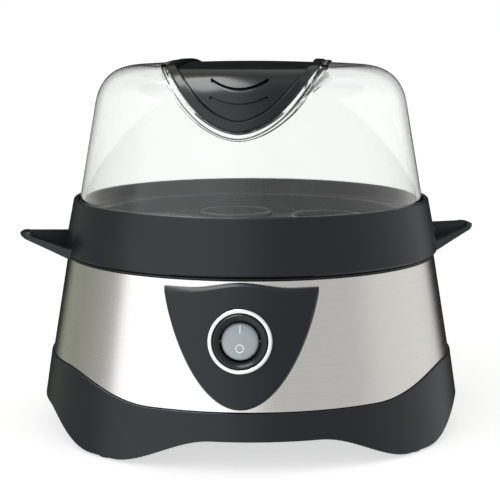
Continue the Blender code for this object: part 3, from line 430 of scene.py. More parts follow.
def coated_plate(name, colour):
    """Dark non-stick coating with fine light flecks."""
    nodes = Nodes(name, colour, 0.42)
    flecks = nodes.add("ShaderNodeTexVoronoi", feature="F1")
    flecks.inputs["Scale"].default_value = 700
    place_in = nodes.add("ShaderNodeTexCoord")
    nodes.link(place_in.outputs["Object"], flecks.inputs["Vector"])
    ramp = nodes.add("ShaderNodeValToRGB")
    ramp.color_ramp.elements[0].color = (0.30, 0.30, 0.31, 1)
    ramp.color_ramp.elements[0].position = 0.06
    ramp.color_ramp.elements[1].color = (*colour, 1)
    ramp.color_ramp.elements[1].position = 0.16
    nodes.link(flecks.outputs["Distance"], ramp.inputs["Fac"])
    nodes.link(ramp.outputs["Color"], nodes.shader.inputs["Base Color"])
    nodes.spread(nodes.noise(60), 0.34, 0.50, "Roughness")
    nodes.bump(nodes.noise(1500, 4.0), 0.3, 0.00003)
    return nodes.material


def make_materials():
    return {
        "black_plastic": moulded("black_plastic", (0.0048, 0.0078, 0.0125), 0.34, bump=0.2, gloss=0.42),
        "grip_black": moulded("grip_black", (0.0042, 0.0058, 0.0082), 0.22, grain=3200, bump=0.1),
        "switch_black": moulded("switch_black", (0.0060, 0.0075, 0.0100), 0.28, grain=3600, bump=0.2),
        "brushed_steel": brushed("brushed_steel", (0.80, 0.79, 0.77), 0.24),
        "clear_plastic": clear_plastic("clear_plastic"),
        "plate_coating": coated_plate("plate_coating", (0.035, 0.035, 0.038)),
        "silicone": soft_rubber("silicone", (0.30, 0.30, 0.30)),
        "rubber": soft_rubber("rubber", (0.018, 0.018, 0.019)),
        "switch_trim": metal("switch_trim", (0.90, 0.90, 0.92), 0.16, grain=500),
        "rocker_grey": moulded("rocker_grey", (0.35, 0.39, 0.42), 0.28, grain=3000, bump=0.15),
        "brass": metal("brass", (0.78, 0.57, 0.25), 0.30),
        "screw_steel": metal("screw_steel", (0.58, 0.58, 0.58), 0.28),
        "zinc": metal("zinc", (0.62, 0.63, 0.64), 0.38),
        "element_steel": metal("element_steel", (0.36, 0.33, 0.30), 0.45),
        "phenolic": moulded("phenolic", (0.030, 0.022, 0.016), 0.5),
        "nylon": moulded("nylon", (0.78, 0.76, 0.70), 0.45),
        "lead_grey": moulded("lead_grey", (0.30, 0.30, 0.31), 0.5),
        "lead_blue": moulded("lead_blue", (0.05, 0.12, 0.45), 0.5),
        "lead_brown": moulded("lead_brown", (0.18, 0.08, 0.04), 0.5),
    }


# ---------------------------------------------------------------- base

def skirt_radius(height):
    return SKIRT_RADIUS - SKIRT_SLOPE * height


def sleeve_radius(height):
    return SLEEVE_RADIUS - SLEEVE_SLOPE * height


def folded_angle(angle):
    """Angle from the nearest of front and rear, 0 to 90 degrees."""
    return abs((angle + math.pi / 2) % math.pi - math.pi / 2)


def foot_share(angle):
    """0 at the middle of a foot, 1 along an arch."""
    return smoothstep((abs(folded_angle(angle) - FOOT_ANGLE) - FOOT_FLAT) / FOOT_RISE)


def skirt_bottom(angle):
    return FOOT_BOTTOM + (ARCH_HEIGHT - FOOT_BOTTOM) * foot_share(angle)


def skirt_top(angle):
    rise = smoothstep((folded_angle(angle) - TOP_WAVE_START) / TOP_WAVE_RISE)
    return SKIRT_TOP_LOW + (SKIRT_TOP_HIGH - SKIRT_TOP_LOW) * rise


def skirt_section(angle):
    top, bottom = skirt_top(angle), skirt_bottom(angle)
    lip_top = top + LIP_HEIGHT
    behind = SLEEVE_WALL + GAP
    inner_foot = skirt_radius(bottom) - SKIRT_WALL - FOOT_BLOCK * (1 - foot_share(angle))
    inner_wall = sleeve_radius(FLANGE_TOP) - behind - LIP_WALL
    return rounded([
        (skirt_radius(top), top, 0.0005), (skirt_radius(bottom), bottom, 0.0009),
        (inner_foot, bottom, 0.0008), (inner_foot, FLANGE_BOTTOM, 0.0006),
        (FLANGE_INNER, FLANGE_BOTTOM, 0.0004), (FLANGE_INNER, FLANGE_TOP, 0.0004),
        (inner_wall, FLANGE_TOP, 0.0008),
        (sleeve_radius(lip_top) - behind - LIP_WALL, lip_top, 0.0004),
        (sleeve_radius(lip_top) - behind, lip_top, 0.0004), (sleeve_radius(top) - behind, top, 0)])


def sleeve_section(angle):
    low = skirt_top(angle) + GAP
    return rounded([
        (sleeve_radius(SLEEVE_TOP), SLEEVE_TOP, 0.0002), (sleeve_radius(low), low, 0.0002),
        (sleeve_radius(low) - SLEEVE_WALL, low, 0.0002),
        (sleeve_radius(SLEEVE_TOP) - SLEEVE_WALL, SLEEVE_TOP, 0.0002)])


def wavy_ring(name, section):
    loops = []
    for k in range(TURN_STEPS):
        angle = math.tau * k / TURN_STEPS
        loops.append([round_point(radius, angle, height) for radius, height in section(angle)])
    return place(loft(name, loops, round_trip=True), Matrix.Rotation(BASE_TURN, 4, "Z"))


def middle_of(node):
    low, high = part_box(node)
    return (low + high) / 2


def build_foot_pads(skirt, looks):
    for number in range(1, 5):
        node = f"rubber_foot_{number}"
        low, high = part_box(node)
        centre, radius = middle_of(node), (high.x - low.x) / 2
        combine(skirt, rod("pocket", radius + GAP, (centre.x, centre.y, -0.01),
                           (centre.x, centre.y, high.z + GAP)))
        foot = turned(f"foot_pad_{number}", rounded([
            (0, high.z, 0), (radius, high.z, 0.0004), (radius, 0, 0.0006), (radius * 0.55, 0, 0.0004),
            (radius * 0.45, 0.0005, 0.0002), (0, 0.0005, 0)]), SMALL_STEPS, closed=False)
        place(foot, Matrix.Translation((centre.x, centre.y, 0)))
        finished(foot, "base", "rubber", looks["rubber"], node)


def switch_hole():
    return rod("hole", SWITCH_HOLE_RADIUS, switch_point(0, 0, -0.02), switch_point(0, 0, 0.01))


def build_base(looks):
    skirt = wavy_ring("skirt", skirt_section)
    build_foot_pads(skirt, looks)
    finished(skirt, "base", "black_plastic", looks["black_plastic"], "base_foot")

    sleeve = wavy_ring("sleeve", sleeve_section)
    combine(sleeve, switch_hole())
    finished(sleeve, "base", "brushed_steel", looks["brushed_steel"], "steel_sleeve")


def build_grommet(plate, looks):
    """The rubber ring that holds the cord in the bottom plate."""
    plate_low, plate_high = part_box("bottom_plate")
    low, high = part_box("cord_grommet")
    centre, bead = middle_of("cord_grommet"), (high.x - low.x) / 2
    neck = bead - GROMMET_BEAD
    combine(plate, rod("hole", neck + GAP, (centre.x, centre.y, 0), (centre.x, centre.y, 0.03)))
    grommet = turned("cord_gland", rounded([
        (CORD_HOLE_RADIUS, high.z, 0.0003), (bead, high.z, 0.0006), (bead, plate_high.z + GAP, 0.0003),
        (neck, plate_high.z + GAP, 0), (neck, plate_low.z - GAP, 0), (bead, plate_low.z - GAP, 0.0003),
        (bead, plate_low.z - 0.0018, 0.0006), (CORD_HOLE_RADIUS + 0.0012, low.z, 0.0004),
        (CORD_HOLE_RADIUS, low.z, 0.0003)]), SMALL_STEPS)
    place(grommet, Matrix.Translation((centre.x, centre.y, 0)))
    finished(grommet, "base", "rubber", looks["rubber"], "cord_grommet")


def build_cover_screw(number, plate, looks):
    """A cross-head screw under the bottom plate, and its hole."""
    node = f"bottom_screw_{number}"
    low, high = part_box(node)
    spot, head = middle_of(node), (high.x - low.x) / 2
    combine(plate, rod("hole", head / 2 + GAP, (spot.x, spot.y, 0), (spot.x, spot.y, 0.03)))
    face, seat = low.z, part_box("bottom_plate")[0].z - GAP
    screw = turned(f"cover_screw_{number}", rounded([
        (0, high.z, 0), (head / 2, high.z - 0.0008, 0), (head / 2, seat, 0),
        (head, seat, 0.0002), (head * 0.92, face + 0.0004, 0.0004), (0, face, 0)]), 32, closed=False)
    for turn in (0, math.pi / 2):
        slot = rod("slot", SCREW_SLOT_RADIUS, (-head * 0.55, 0, face), (head * 0.55, 0, face), 12)
        slot.matrix_world = Matrix.Rotation(turn, 4, "Z") @ slot.matrix_world
        combine(screw, slot)
    place(screw, Matrix.Translation((spot.x, spot.y, 0)))
    finished(screw, "base", "screw_steel", looks["screw_steel"], node)


def build_underside(looks):
    """The bottom plate with stiffening rings, its screws and the cord's grommet."""
    low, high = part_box("bottom_plate")
    section = [(0, high.z, 0), (high.x, high.z, 0.0004), (high.x, low.z, 0.0005)]
    for ring in PLATE_RINGS:
        section += [(ring, low.z, 0.0003), (ring - 0.0004, low.z + PLATE_RING_DEPTH, 0.0003),
                    (ring - 0.0036, low.z + PLATE_RING_DEPTH, 0.0003), (ring - 0.0040, low.z, 0.0003)]
    plate = turned("bottom_cover", rounded(section + [(0, low.z, 0)]), closed=False)
    build_grommet(plate, looks)
    for number in range(1, 5):
        build_cover_screw(number, plate, looks)
    finished(plate, "base", "black_plastic", looks["black_plastic"], "bottom_plate")


def build_top_of_base(looks):
    low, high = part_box("top_collar")
    collar = turned("collar", rounded([
        (0.0768, high.z, 0.0004), (0.0783, high.z, 0.0004), (0.0783, 0.0752, 0.0003),
        (high.x, 0.0752, 0.0003), (high.x, 0.0745, 0.0002), (0.0791, 0.0745, 0), (0.0791, low.z, 0.0003),
        (0.0720, low.z, 0.0003), (0.0720, 0.0746, 0.0003), (0.0768, 0.0746, 0)]))
    finished(collar, "base", "black_plastic", looks["black_plastic"], "top_collar")
    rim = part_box("heating_plate")[1]
    floor, line = WATER_FLOOR, WATER_FLOOR - 0.0004
    plate = turned("heating_dish", rounded([
        (0, floor, 0), (0.0180, floor, 0.0004), (0.0184, line, 0.0003), (0.0200, line, 0.0003),
        (0.0204, floor, 0.0004), (DISH_RADIUS, floor, 0.0030), (0.0716, rim.z, 0.0020),
        (rim.x, rim.z, 0.0006), (rim.x, 0.0764, 0.0003), (0.0712, 0.0764, 0.0010),
        (0.0626, 0.0684, 0.0020), (0, 0.0684, 0)]), closed=False)
    for k in range(3):
        stud = round_point(STUD_CIRCLE, STUD_ANGLE + k * math.tau / 3, STUD_FOOT)
        combine(plate, rod("stud", STUD_RADIUS, stud, stud + Vector((0, 0, STUD_LENGTH))), "UNION")
    finished(plate, "base", "plate_coating", looks["plate_coating"], "heating_plate")


# ---------------------------------------------------------------- switch

def panel_thickness(height):
    share = (height - PANEL_POINT_HEIGHT) / PANEL_LENGTH
    return PANEL_FOOT_THICKNESS + (PANEL_HEAD_THICKNESS - PANEL_FOOT_THICKNESS) * share


def switch_frame():
    """Where the switch meets the panel: x across, y up the panel, z straight out."""
    slope = math.atan(SLEEVE_SLOPE - (PANEL_HEAD_THICKNESS - PANEL_FOOT_THICKNESS) / PANEL_LENGTH)
    out = Vector((0, -math.cos(slope), math.sin(slope)))
    up = Vector((0, math.sin(slope), math.cos(slope)))
    radius = sleeve_radius(SWITCH_HEIGHT) + GAP + panel_thickness(SWITCH_HEIGHT)
    origin = Vector((0, -radius, SWITCH_HEIGHT)) + out * 0.0002
    return Matrix(((1, up.x, out.x, origin.x), (0, up.y, out.y, origin.y),
                   (0, up.z, out.z, origin.z), (0, 0, 0, 1)))


def switch_point(u, v, w):
    return switch_frame() @ Vector((u, v, w))


def panel_surface(inset, level, drop=0.0):
    """Grid over the panel, its outline drawn in by inset; level 0 is its back and 1 its face."""
    width = PANEL_HALF_WIDTH - inset
    points = np.zeros((PANEL_COLUMNS, PANEL_ROWS, 3))
    for i in range(PANEL_COLUMNS):
        x = width * 0.985 * math.sin(math.pi / 2 * (2 * i / (PANEL_COLUMNS - 1) - 1))
        share = abs(x) / width
        low = PANEL_POINT_HEIGHT + inset + (PANEL_LENGTH - inset) * (1 - (1 - share ** 2) ** 0.7)
        high = PANEL_POINT_HEIGHT + PANEL_LENGTH - PANEL_TOP_DIP * smoothstep(share * 1.5)
        high -= inset * (1.3 + 2.2 * share ** 2)
        low = min(low, high - 0.0004)
        for j in range(PANEL_ROWS):
            z = low + (high - low) * j / (PANEL_ROWS - 1)
            radius = sleeve_radius(z) + GAP + panel_thickness(z) * level - drop
            points[i, j] = (x, -math.sqrt(radius * radius - x * x), z)
    return points


def build_panel(looks):
    panel = layered_plate("panel", [
        panel_surface(0, 0), panel_surface(0, 1, 0.0013), panel_surface(0.00008, 1, 0.0011),
        panel_surface(0.0003, 1, 0.0007), panel_surface(0.0006, 1, 0.0003),
        panel_surface(0.0008, 1, 0.00010), panel_surface(0.0011, 1)])
    boss = turned("boss", rounded([(0, -0.0012, 0), (0, 0.0001, 0), (BOSS_RADIUS, 0.0001, 0.0002),
                                   (BOSS_RADIUS, -0.0012, 0)]), SMALL_STEPS, closed=False)
    combine(panel, place(boss, switch_frame()), "UNION")
    combine(panel, switch_hole())
    finished(panel, "base", "black_plastic", looks["black_plastic"], "switch_panel")


def mark_ring(radius, width, height):
    return rounded([(radius - width, height, 0.0001), (radius, height, 0.0001),
                    (radius, height - 0.0006, 0), (radius - width, height - 0.0006, 0)])


def build_switch(looks):
    trim = turned("trim_ring", rounded([
        (TRIM_INNER_RADIUS, 0.0016, 0.0004), (TRIM_OUTER_RADIUS, 0.0016, 0.0005),
        (TRIM_OUTER_RADIUS, GAP, 0.0001), (TRIM_INNER_RADIUS, GAP, 0.0001)]), TURN_STEPS // 2)
    finished(place(trim, switch_frame()), "base", "switch_trim", looks["switch_trim"], "switch_ring")

    barrel = SWITCH_HOLE_RADIUS - 0.0004
    body = turned("switch_housing", rounded([
        (0, -0.0080, 0), (ROCKER_HOLE_RADIUS, -0.0080, 0), (ROCKER_HOLE_RADIUS, 0.0004, 0.0002),
        (BEZEL_RADIUS - 0.0006, 0.0021, 0.0003), (BEZEL_RADIUS, 0.0016, 0.0003), (BEZEL_RADIUS, GAP, 0),
        (barrel, GAP, 0), (barrel, -0.0180, 0.0005), (0, -0.0180, 0)]), TURN_STEPS // 2, closed=False)
    place(body, switch_frame())
    pivot = switch_point(0, 0, -ROCKER_PIVOT_DEPTH)
    across = Vector((0.0092, 0, 0))
    combine(body, rod("pin_hole", PIN_HOLE_RADIUS, pivot - across, pivot + across, 24))
    finished(body, "base", "switch_black", looks["switch_black"], "switch_body")

    rocker_frame = (Matrix.Translation(pivot) @ switch_frame().to_3x3().to_4x4()
                    @ Matrix.Rotation(-ROCKER_TILT, 4, "X"))
    rocker = turned("rocker_button", rounded([
        (0, ROCKER_FACE + 0.0003, 0), (ROCKER_RADIUS * 0.6, ROCKER_FACE, 0.0008),
        (ROCKER_RADIUS, ROCKER_FACE - 0.0008, 0.0016), (ROCKER_RADIUS, ROCKER_BACK, 0.0008),
        (0, ROCKER_BACK, 0)]), TURN_STEPS // 2, closed=False)
    place(rocker, rocker_frame)
    combine(rocker, rod("pin_hole", PIN_HOLE_RADIUS, pivot - across, pivot + across, 24))
    finished(rocker, "rocker", "rocker_grey", looks["rocker_grey"], "rocker")

    white = moulded("mark_white", (0.86, 0.87, 0.88), 0.35, bump=0.1)
    off_section = mark_ring(MARK_OFF_RADIUS, MARK_WIDTH, ROCKER_FACE + 0.00030)
    off_mark = turned("mark_off", off_section, SMALL_STEPS)
    place(off_mark, rocker_frame @ Matrix.Translation((0, MARK_OFF_PLACE, 0)))
    half, reach = 0.0002, MARK_OFF_RADIUS
    outline = rounded([(-half, -reach, half), (half, -reach, half),
                       (half, reach, half), (-half, reach, half)])
    heights = (ROCKER_FACE - 0.0006, ROCKER_FACE + 0.00022)
    on_mark = loft("mark_on", [[(x, y, z) for x, y in outline] for z in heights])
    place(on_mark, rocker_frame @ Matrix.Translation((0, MARK_ON_PLACE, 0)))
    for mark in (off_mark, on_mark):
        finished(mark, "rocker", "rocker_grey", white)


# ---------------------------------------------------------------- steaming ring and tray

def ring_radius(height):
    return RING_RADIUS - RING_SLOPE * (height - RING_FOOT)


def handle_low(x):
    """Height of the handle's underside at a distance from the ring's axis."""
    root, tip = RING_BOTTOM_FACE - HANDLE_DROP, HANDLE_TOP - HANDLE_TIP_THICKNESS
    share = (x - HANDLE_POCKET_START) / (HANDLE_TIP - HANDLE_NOSE - HANDLE_POCKET_START)
    return root + (tip - root) * max(0.0, share)


def handle_wing(side):
    """A pointed wing: level on top, its underside climbing from the ring's foot to a round tip."""
    loops = []
    stations, round_off = 28, 0.0026
    for k in range(stations + 1):
        t = k / stations
        x = HANDLE_ROOT + (HANDLE_TIP - HANDLE_ROOT) * (1 - (1 - t) ** 1.6)
        share = min((x - HANDLE_ROOT) / (HANDLE_TIP - HANDLE_ROOT), 0.999)
        half = HANDLE_ROOT_HALF + (HANDLE_TIP_HALF - HANDLE_ROOT_HALF) * share ** 0.8
        low, top = handle_low(x), HANDLE_TOP
        into_tip = max(0.0, (x - (HANDLE_TIP - round_off)) / round_off)
        shrink = math.sqrt(max(1 - into_tip ** 2, 0.0036))
        middle = (low + top) / 2
        half *= shrink
        low, top = middle + (low - middle) * shrink, middle + (top - middle) * shrink
        soft = 0.0009 * shrink
        outline = rounded([(-half, top, soft), (half, top, soft), (half, low, soft), (-half, low, soft)])
        loops.append([(side * x, y, z) for y, z in outline])
    return loft("handle_wing", loops)


def handle_pocket(side, front):
    """The hollow beside the handle's web, over its sloping plate, open above."""
    start, end = HANDLE_POCKET_START, HANDLE_POCKET_END
    root, over = 0.0790, HANDLE_TOP + 0.001
    floor = handle_low(start) + HANDLE_PLATE_ROOT
    outline = rounded([
        (root, over, 0), (end + 0.0008, over, 0), (end, handle_low(end) + HANDLE_PLATE_TIP, 0.0006),
        (start, floor, 0), (root, floor, 0)])
    flare = HANDLE_WEB_FLARE / (end - start)
    way = -1 if front else 1
    inner = [(side * x, way * (HANDLE_WEB_HALF + flare * (x - start)), z) for x, z in outline]
    return loft("handle_pocket", [inner, [(x, way * 0.0300, z) for x, y, z in inner]])


def handle_bore():
    """What the ring's own wall takes away from a handle's root."""
    depth, step, head = 0.0013, RING_BOTTOM_FACE + 0.0004, 0.0900
    return turned("bore", [(0, head), (ring_radius(head) - depth, head), (ring_radius(step) - depth, step),
                           (RING_RADIUS, step), (RING_RADIUS, 0.0700), (0, 0.0700)], closed=False)


def build_ring(looks):
    ring = turned("steam_ring", rounded([
        (0.0759, RING_TOP, 0.0003), (ring_radius(RING_TOP), RING_TOP, 0.0009),
        (RING_RADIUS, RING_FOOT, 0.0010), (RING_RADIUS - 0.0014, RING_BOTTOM_FACE, 0.0003),
        (0.0793, RING_BOTTOM_FACE, 0.0003), (0.0788, 0.0800, 0), (0.0780, 0.0848, 0.0010),
        (RING_LEDGE_INNER, 0.0876, 0.0004), (RING_LEDGE_INNER, RING_LEDGE_TOP, 0.0004),
        (0.0759, RING_LEDGE_TOP, 0.0002)]))
    for side in (-1, 1):
        wing = handle_wing(side)
        for front in (True, False):
            combine(wing, handle_pocket(side, front))
        combine(wing, handle_bore())
        combine(ring, wing, "UNION")
    place(ring, Matrix.Rotation(RING_TURN, 4, "Z"))
    finished(ring, "ring", "black_plastic", looks["black_plastic"], "steamer_ring")


def build_tray(looks):
    inner = TRAY_WALL_RADIUS - TRAY_WALL
    tray = turned("tray", rounded([
        (0, TRAY_FLOOR_TOP, 0), (inner, TRAY_FLOOR_TOP, 0.0010), (inner, TRAY_FLANGE_TOP, 0.0006),
        (TRAY_FLANGE_RADIUS, TRAY_FLANGE_TOP, 0.0005), (TRAY_FLANGE_RADIUS, TRAY_FLANGE_BOTTOM, 0.0003),
        (TRAY_WALL_RADIUS, TRAY_FLANGE_BOTTOM, 0.0004), (TRAY_WALL_RADIUS, TRAY_FLOOR_BOTTOM, 0.0010),
        (0, TRAY_FLOOR_BOTTOM, 0)]), closed=False)
    angles = [RING_TURN + k * math.tau / OUTER_SEATS for k in range(OUTER_SEATS)]
    seats = [Vector((0, 0, 0))] + [round_point(SEAT_CIRCLE, angle, 0) for angle in angles]
    for seat in seats:
        middle = SEAT_RADIUS + SEAT_WALL / 2
        combine(tray, rod("hole", middle, seat, seat + Vector((0, 0, 0.12))))
        collar = turned("seat_collar", rounded([
            (SEAT_RADIUS, SEAT_TOP, 0.0007), (SEAT_RADIUS + SEAT_WALL, SEAT_TOP, 0.0007),
            (SEAT_RADIUS + SEAT_WALL, TRAY_FLOOR_BOTTOM + 0.0009, 0),
            (SEAT_RADIUS, TRAY_FLOOR_BOTTOM + 0.0009, 0.0003)]), SMALL_STEPS)
        combine(tray, place(collar, Matrix.Translation(seat)), "UNION")
    finished(tray, "tray", "black_plastic", looks["black_plastic"], "egg_tray")


# ---------------------------------------------------------------- lid

def lid_profile():
    """The lid's outer side from the crest down, as (radius, height)."""
    crown_points, shoulder_points = 12, 24
    edge_r, edge_z = LID_CROWN_EDGE
    crown = []
    for k in range(crown_points):
        share = k / crown_points
        crown.append((edge_r * share, LID_CREST - (LID_CREST - edge_z) * share ** 2))
    low_handle, high_handle = (Vector(handle) for handle in LID_SHOULDER_HANDLES)
    a, d = Vector(LID_CROWN_EDGE), Vector(LID_WALL_HEAD)
    shoulder = []
    for k in range(shoulder_points + 1):
        t = k / shoulder_points
        pull = high_handle * 3 * t * (1 - t) ** 2 + low_handle * 3 * t * t * (1 - t)
        shoulder.append(tuple(a * (1 - t) ** 3 + pull + d * t ** 3))
    foot = [LID_WALL_FOOT, (LID_FOOT_RADIUS, LID_FOOT_TOP), (LID_FOOT_RADIUS, LID_BOTTOM)]
    return crown + shoulder + foot


def offset_profile(distance):
    """The lid's profile moved along its own normals, outwards when distance is positive."""
    profile = lid_profile()
    moved = []
    for i, (radius, height) in enumerate(profile):
        before = Vector(profile[max(i - 1, 0)])
        after = Vector(profile[min(i + 1, len(profile) - 1)])
        along = (after - before).normalized()
        normal = Vector((-along.y, along.x))
        if i == 0:
            normal = Vector((0, 1))
        if i == len(profile) - 1:
            normal = Vector((1, 0))
        moved.append((max(radius + normal.x * distance, 0.0), height + normal.y * distance))
    return moved


def strap_end_angle(x, grow):
    """Ray angle of the strap's outline in the plane at x; grow widens the outline."""
    points = [Vector(point) for point in reversed(lid_profile()) if point[1] > STRAP_POINT_HEIGHT]
    foot, head = Vector(LID_WALL_FOOT), Vector(LID_WALL_HEAD)
    start = foot.lerp(head, (STRAP_POINT_HEIGHT - foot.y) / (head.y - foot.y))
    path = [start] + points
    lengths = np.cumsum([0.0] + [(b - a).length for a, b in zip(path, path[1:])])
    share = min(abs(x) / (STRAP_HALF_WIDTH + grow), 1.0)
    along = (STRAP_END_LENGTH + grow) * (1 - (1 - share ** 1.8) ** 0.65) - grow
    if along < 0:
        spot = start + (head - foot).normalized() * along
    else:
        spot = Vector((np.interp(along, lengths, [p.x for p in path]),
                       np.interp(along, lengths, [p.y for p in path])))
    return math.atan2(spot.y - RAY_HEIGHT, math.sqrt(max(spot.x ** 2 - x * x, 1e-8)))


def strap_surface(grow, offset):
    """Grid on the lid moved by offset, over the strap's area widened by grow, front point to rear."""
    moved = offset_profile(offset)[::-1]
    radii, heights = np.array(moved).T
    x = (STRAP_HALF_WIDTH + grow) * np.sin(np.pi / 2 * 0.97 * np.linspace(-1, 1, STRAP_COLUMNS))
    start = np.array([strap_end_angle(value, grow) for value in x])[:, None]
    front = start + (CROWN_ANGLE - start) * np.linspace(0, 1, SHIELD_ROWS + 1)
    crown = CROWN_ANGLE + (math.pi - 2 * CROWN_ANGLE) * np.linspace(0, 1, CROWN_ROWS + 1)[1:-1]
    angle = np.hstack([front, np.tile(crown, (len(x), 1)), math.pi - front[:, ::-1]])
    near, far = np.zeros_like(angle), np.full_like(angle, 0.12)
    for _ in range(32):
        reach = (near + far) / 2
        height = RAY_HEIGHT + reach * np.sin(angle)
        radius = np.hypot(x[:, None], reach * np.cos(angle))
        inside = (height < heights[-1]) & (radius < np.interp(height, heights, radii))
        near, far = np.where(inside, reach, near), np.where(inside, far, reach)
    across = np.broadcast_to(x[:, None], near.shape)
    return np.stack([across, -near * np.cos(angle), RAY_HEIGHT + near * np.sin(angle)], axis=-1)


def lid_surface_point(x, z, offset, rear):
    radii, heights = np.array(offset_profile(offset)[::-1]).T
    radius = float(np.interp(z, heights, radii))
    y = math.sqrt(radius * radius - x * x)
    return Vector((x, y if rear else -y, z))


def groove_cutter(middle, rise, rear):
    """A smile-shaped cutter with round ends, its floor parallel to the panel."""
    level = STRAP_PROUD - STRAP_PANEL_DROP
    reach = GROOVE_HALF_WIDTH + GROOVE_RADIUS
    loops = []
    for k in range(GROOVE_STATIONS + 1):
        x = -reach * math.cos(math.pi * k / GROOVE_STATIONS)
        past = max(abs(x) - GROOVE_HALF_WIDTH, 0) / GROOVE_RADIUS
        half = GROOVE_RADIUS * math.sqrt(max(1 - past ** 2, 0.01))
        z = middle + rise * (x / GROOVE_HALF_WIDTH) ** 2
        corners = [(z - half, level - GROOVE_DEPTH), (z + half, level - GROOVE_DEPTH),
                   (z + half, level + 0.003), (z - half, level + 0.003)]
        loops.append([lid_surface_point(x, height, offset, rear) for height, offset in corners])
    return loft("groove", loops)


def strap_layers(outline, level, softness):
    """Surfaces that round the edge of a raised plate: the outline, its top level and the rounding."""
    low = softness / 1.2
    return [strap_surface(outline, level - low),
            strap_surface(outline - low / 5, level - low * 0.4),
            strap_surface(outline - softness / 2, level - low / 10),
            strap_surface(outline - softness, level)]


def strap_pad():
    """The clear lid's raised rim round the strap."""
    rim = STRAP_RIM + STRAP_FIT
    floor = strap_surface(rim, -STRAP_SEAT_DEPTH - LID_WALL)
    return layered_plate("pad", [floor] + strap_layers(rim, STRAP_PROUD * 0.7, STRAP_SOFTNESS))


def strap_body():
    """The strap: a soft outer edge, a raised border, a fine channel and the panel inside it."""
    inner, level = -STRAP_BORDER, STRAP_PROUD - STRAP_PANEL_DROP
    channel, panel = level - STRAP_CHANNEL_DEPTH, inner - STRAP_CHANNEL_WIDTH
    floor = strap_surface(0, -STRAP_SEAT_DEPTH + STRAP_FIT)
    return layered_plate("grip_strap", [floor] + strap_layers(0, STRAP_PROUD, STRAP_SOFTNESS) + [
        strap_surface(inner + 0.0003, STRAP_PROUD), strap_surface(inner + 0.0001, STRAP_PROUD - 0.0001),
        strap_surface(inner, STRAP_PROUD - 0.0003), strap_surface(inner - 0.0001, channel),
        strap_surface(panel, channel), strap_surface(panel - 0.0001, level - 0.0001),
        strap_surface(panel - 0.0003, level)])


def lid_body():
    outer = offset_profile(0)
    inner = offset_profile(-LID_WALL)[::-1]
    wall_in = LID_FOOT_RADIUS - LID_WALL
    foot = rounded([(LID_FOOT_RADIUS, LID_FOOT_TOP, 0), (LID_FOOT_RADIUS, LID_BOTTOM, 0.0004),
                    (wall_in, LID_BOTTOM, 0.0004), (wall_in, LID_FOOT_TOP, 0)])
    section = outer[:-2] + [tuple(point) for point in foot] + inner[2:-1] + [(0, inner[-1][1])]
    return turned("clear_lid", section, closed=False)


def vent_cutter():
    return rod("vent", VENT_RADIUS, (0, 0, LID_CREST - 0.01), (0, 0, LID_CREST + 0.01))


def build_lid(looks):
    lid = lid_body()
    combine(lid, strap_pad(), "UNION")
    seat = [strap_surface(STRAP_FIT, -STRAP_SEAT_DEPTH), strap_surface(STRAP_FIT, 0.0050)]
    combine(lid, layered_plate("seat", seat))
    combine(lid, vent_cutter())
    grip = strap_body()
    combine(grip, vent_cutter())
    for rear in (False, True):
        for middle, rise in GROOVES:
            combine(grip, groove_cutter(middle, rise, rear))
    for piece in (lid, grip):
        place(piece, Matrix.Rotation(LID_TURN, 4, "Z"))
    finished(lid, "lid", "clear_plastic", looks["clear_plastic"], "lid_shell")
    finished(grip, "lid", "grip_black", looks["grip_black"], "lid_grip")


# ---------------------------------------------------------------- scene

def dress_cad_nodes(looks):
    """Gives every CAD node that stays its own procedural material."""
    slots = {part["node"]: part["material_slot"] for part in frame["record"]["subparts"]}
    for name, node in frame["nodes"].items():
        node.data.materials.clear()
        node.data.materials.append(looks[slots[name]])


def add_floor():
    bm = bmesh.new()
    bmesh.ops.create_grid(bm, x_segments=1, y_segments=1, size=40.0)
    floor = object_from("floor", bm)
    nodes = Nodes("floor_white", (0.62, 0.62, 0.62), 0.6)
    nodes.shader.inputs["Specular IOR Level"].default_value = 0.1
    nodes.shader.inputs["Emission Color"].default_value = (1, 1, 1, 1)
    nodes.shader.inputs["Emission Strength"].default_value = 0.64
    floor.data.materials.append(nodes.material)
    floor.visible_glossy = False


def add_softbox(name, azimuth, elevation, distance, size, power):
    """A rectangular light seen only in glossy surfaces; azimuth from the front towards the right."""
    light = bpy.data.lights.new(name, "AREA")
    light.shape = "RECTANGLE"
    light.size, light.size_y = size
    light.energy = power
    obj = bpy.data.objects.new(name, light)
    bpy.context.scene.collection.objects.link(obj)
    target = Vector((0, 0, 0.08))
    flat, rise = distance * math.cos(elevation), distance * math.sin(elevation)
    obj.location = target + round_point(flat, azimuth, rise)
    obj.rotation_euler = (target - obj.location).to_track_quat("-Z", "Y").to_euler()
    obj.visible_diffuse = False


def maths(tree, operation, *values):
    """The result of a math node whose inputs are sockets or numbers."""
    node = tree.nodes.new("ShaderNodeMath")
    node.operation = operation
    for socket, value in zip(node.inputs, values):
        if isinstance(value, float):
            socket.default_value = value
        else:
            tree.links.new(value, socket)
    return node.outputs[0]


def colour_ramp(tree, value, stops):
    """The colour of a ramp through stops of (position, colour)."""
    ramp = tree.nodes.new("ShaderNodeValToRGB")
    elements = ramp.color_ramp.elements
    while len(elements) > 1:
        elements.remove(elements[0])
    for number, (position, colour) in enumerate(stops):
        element = elements[0] if number == 0 else elements.new(position)
        element.position = position
        element.color = (*colour, 1)
    tree.links.new(value, ramp.inputs["Fac"])
    return ramp.outputs["Color"]


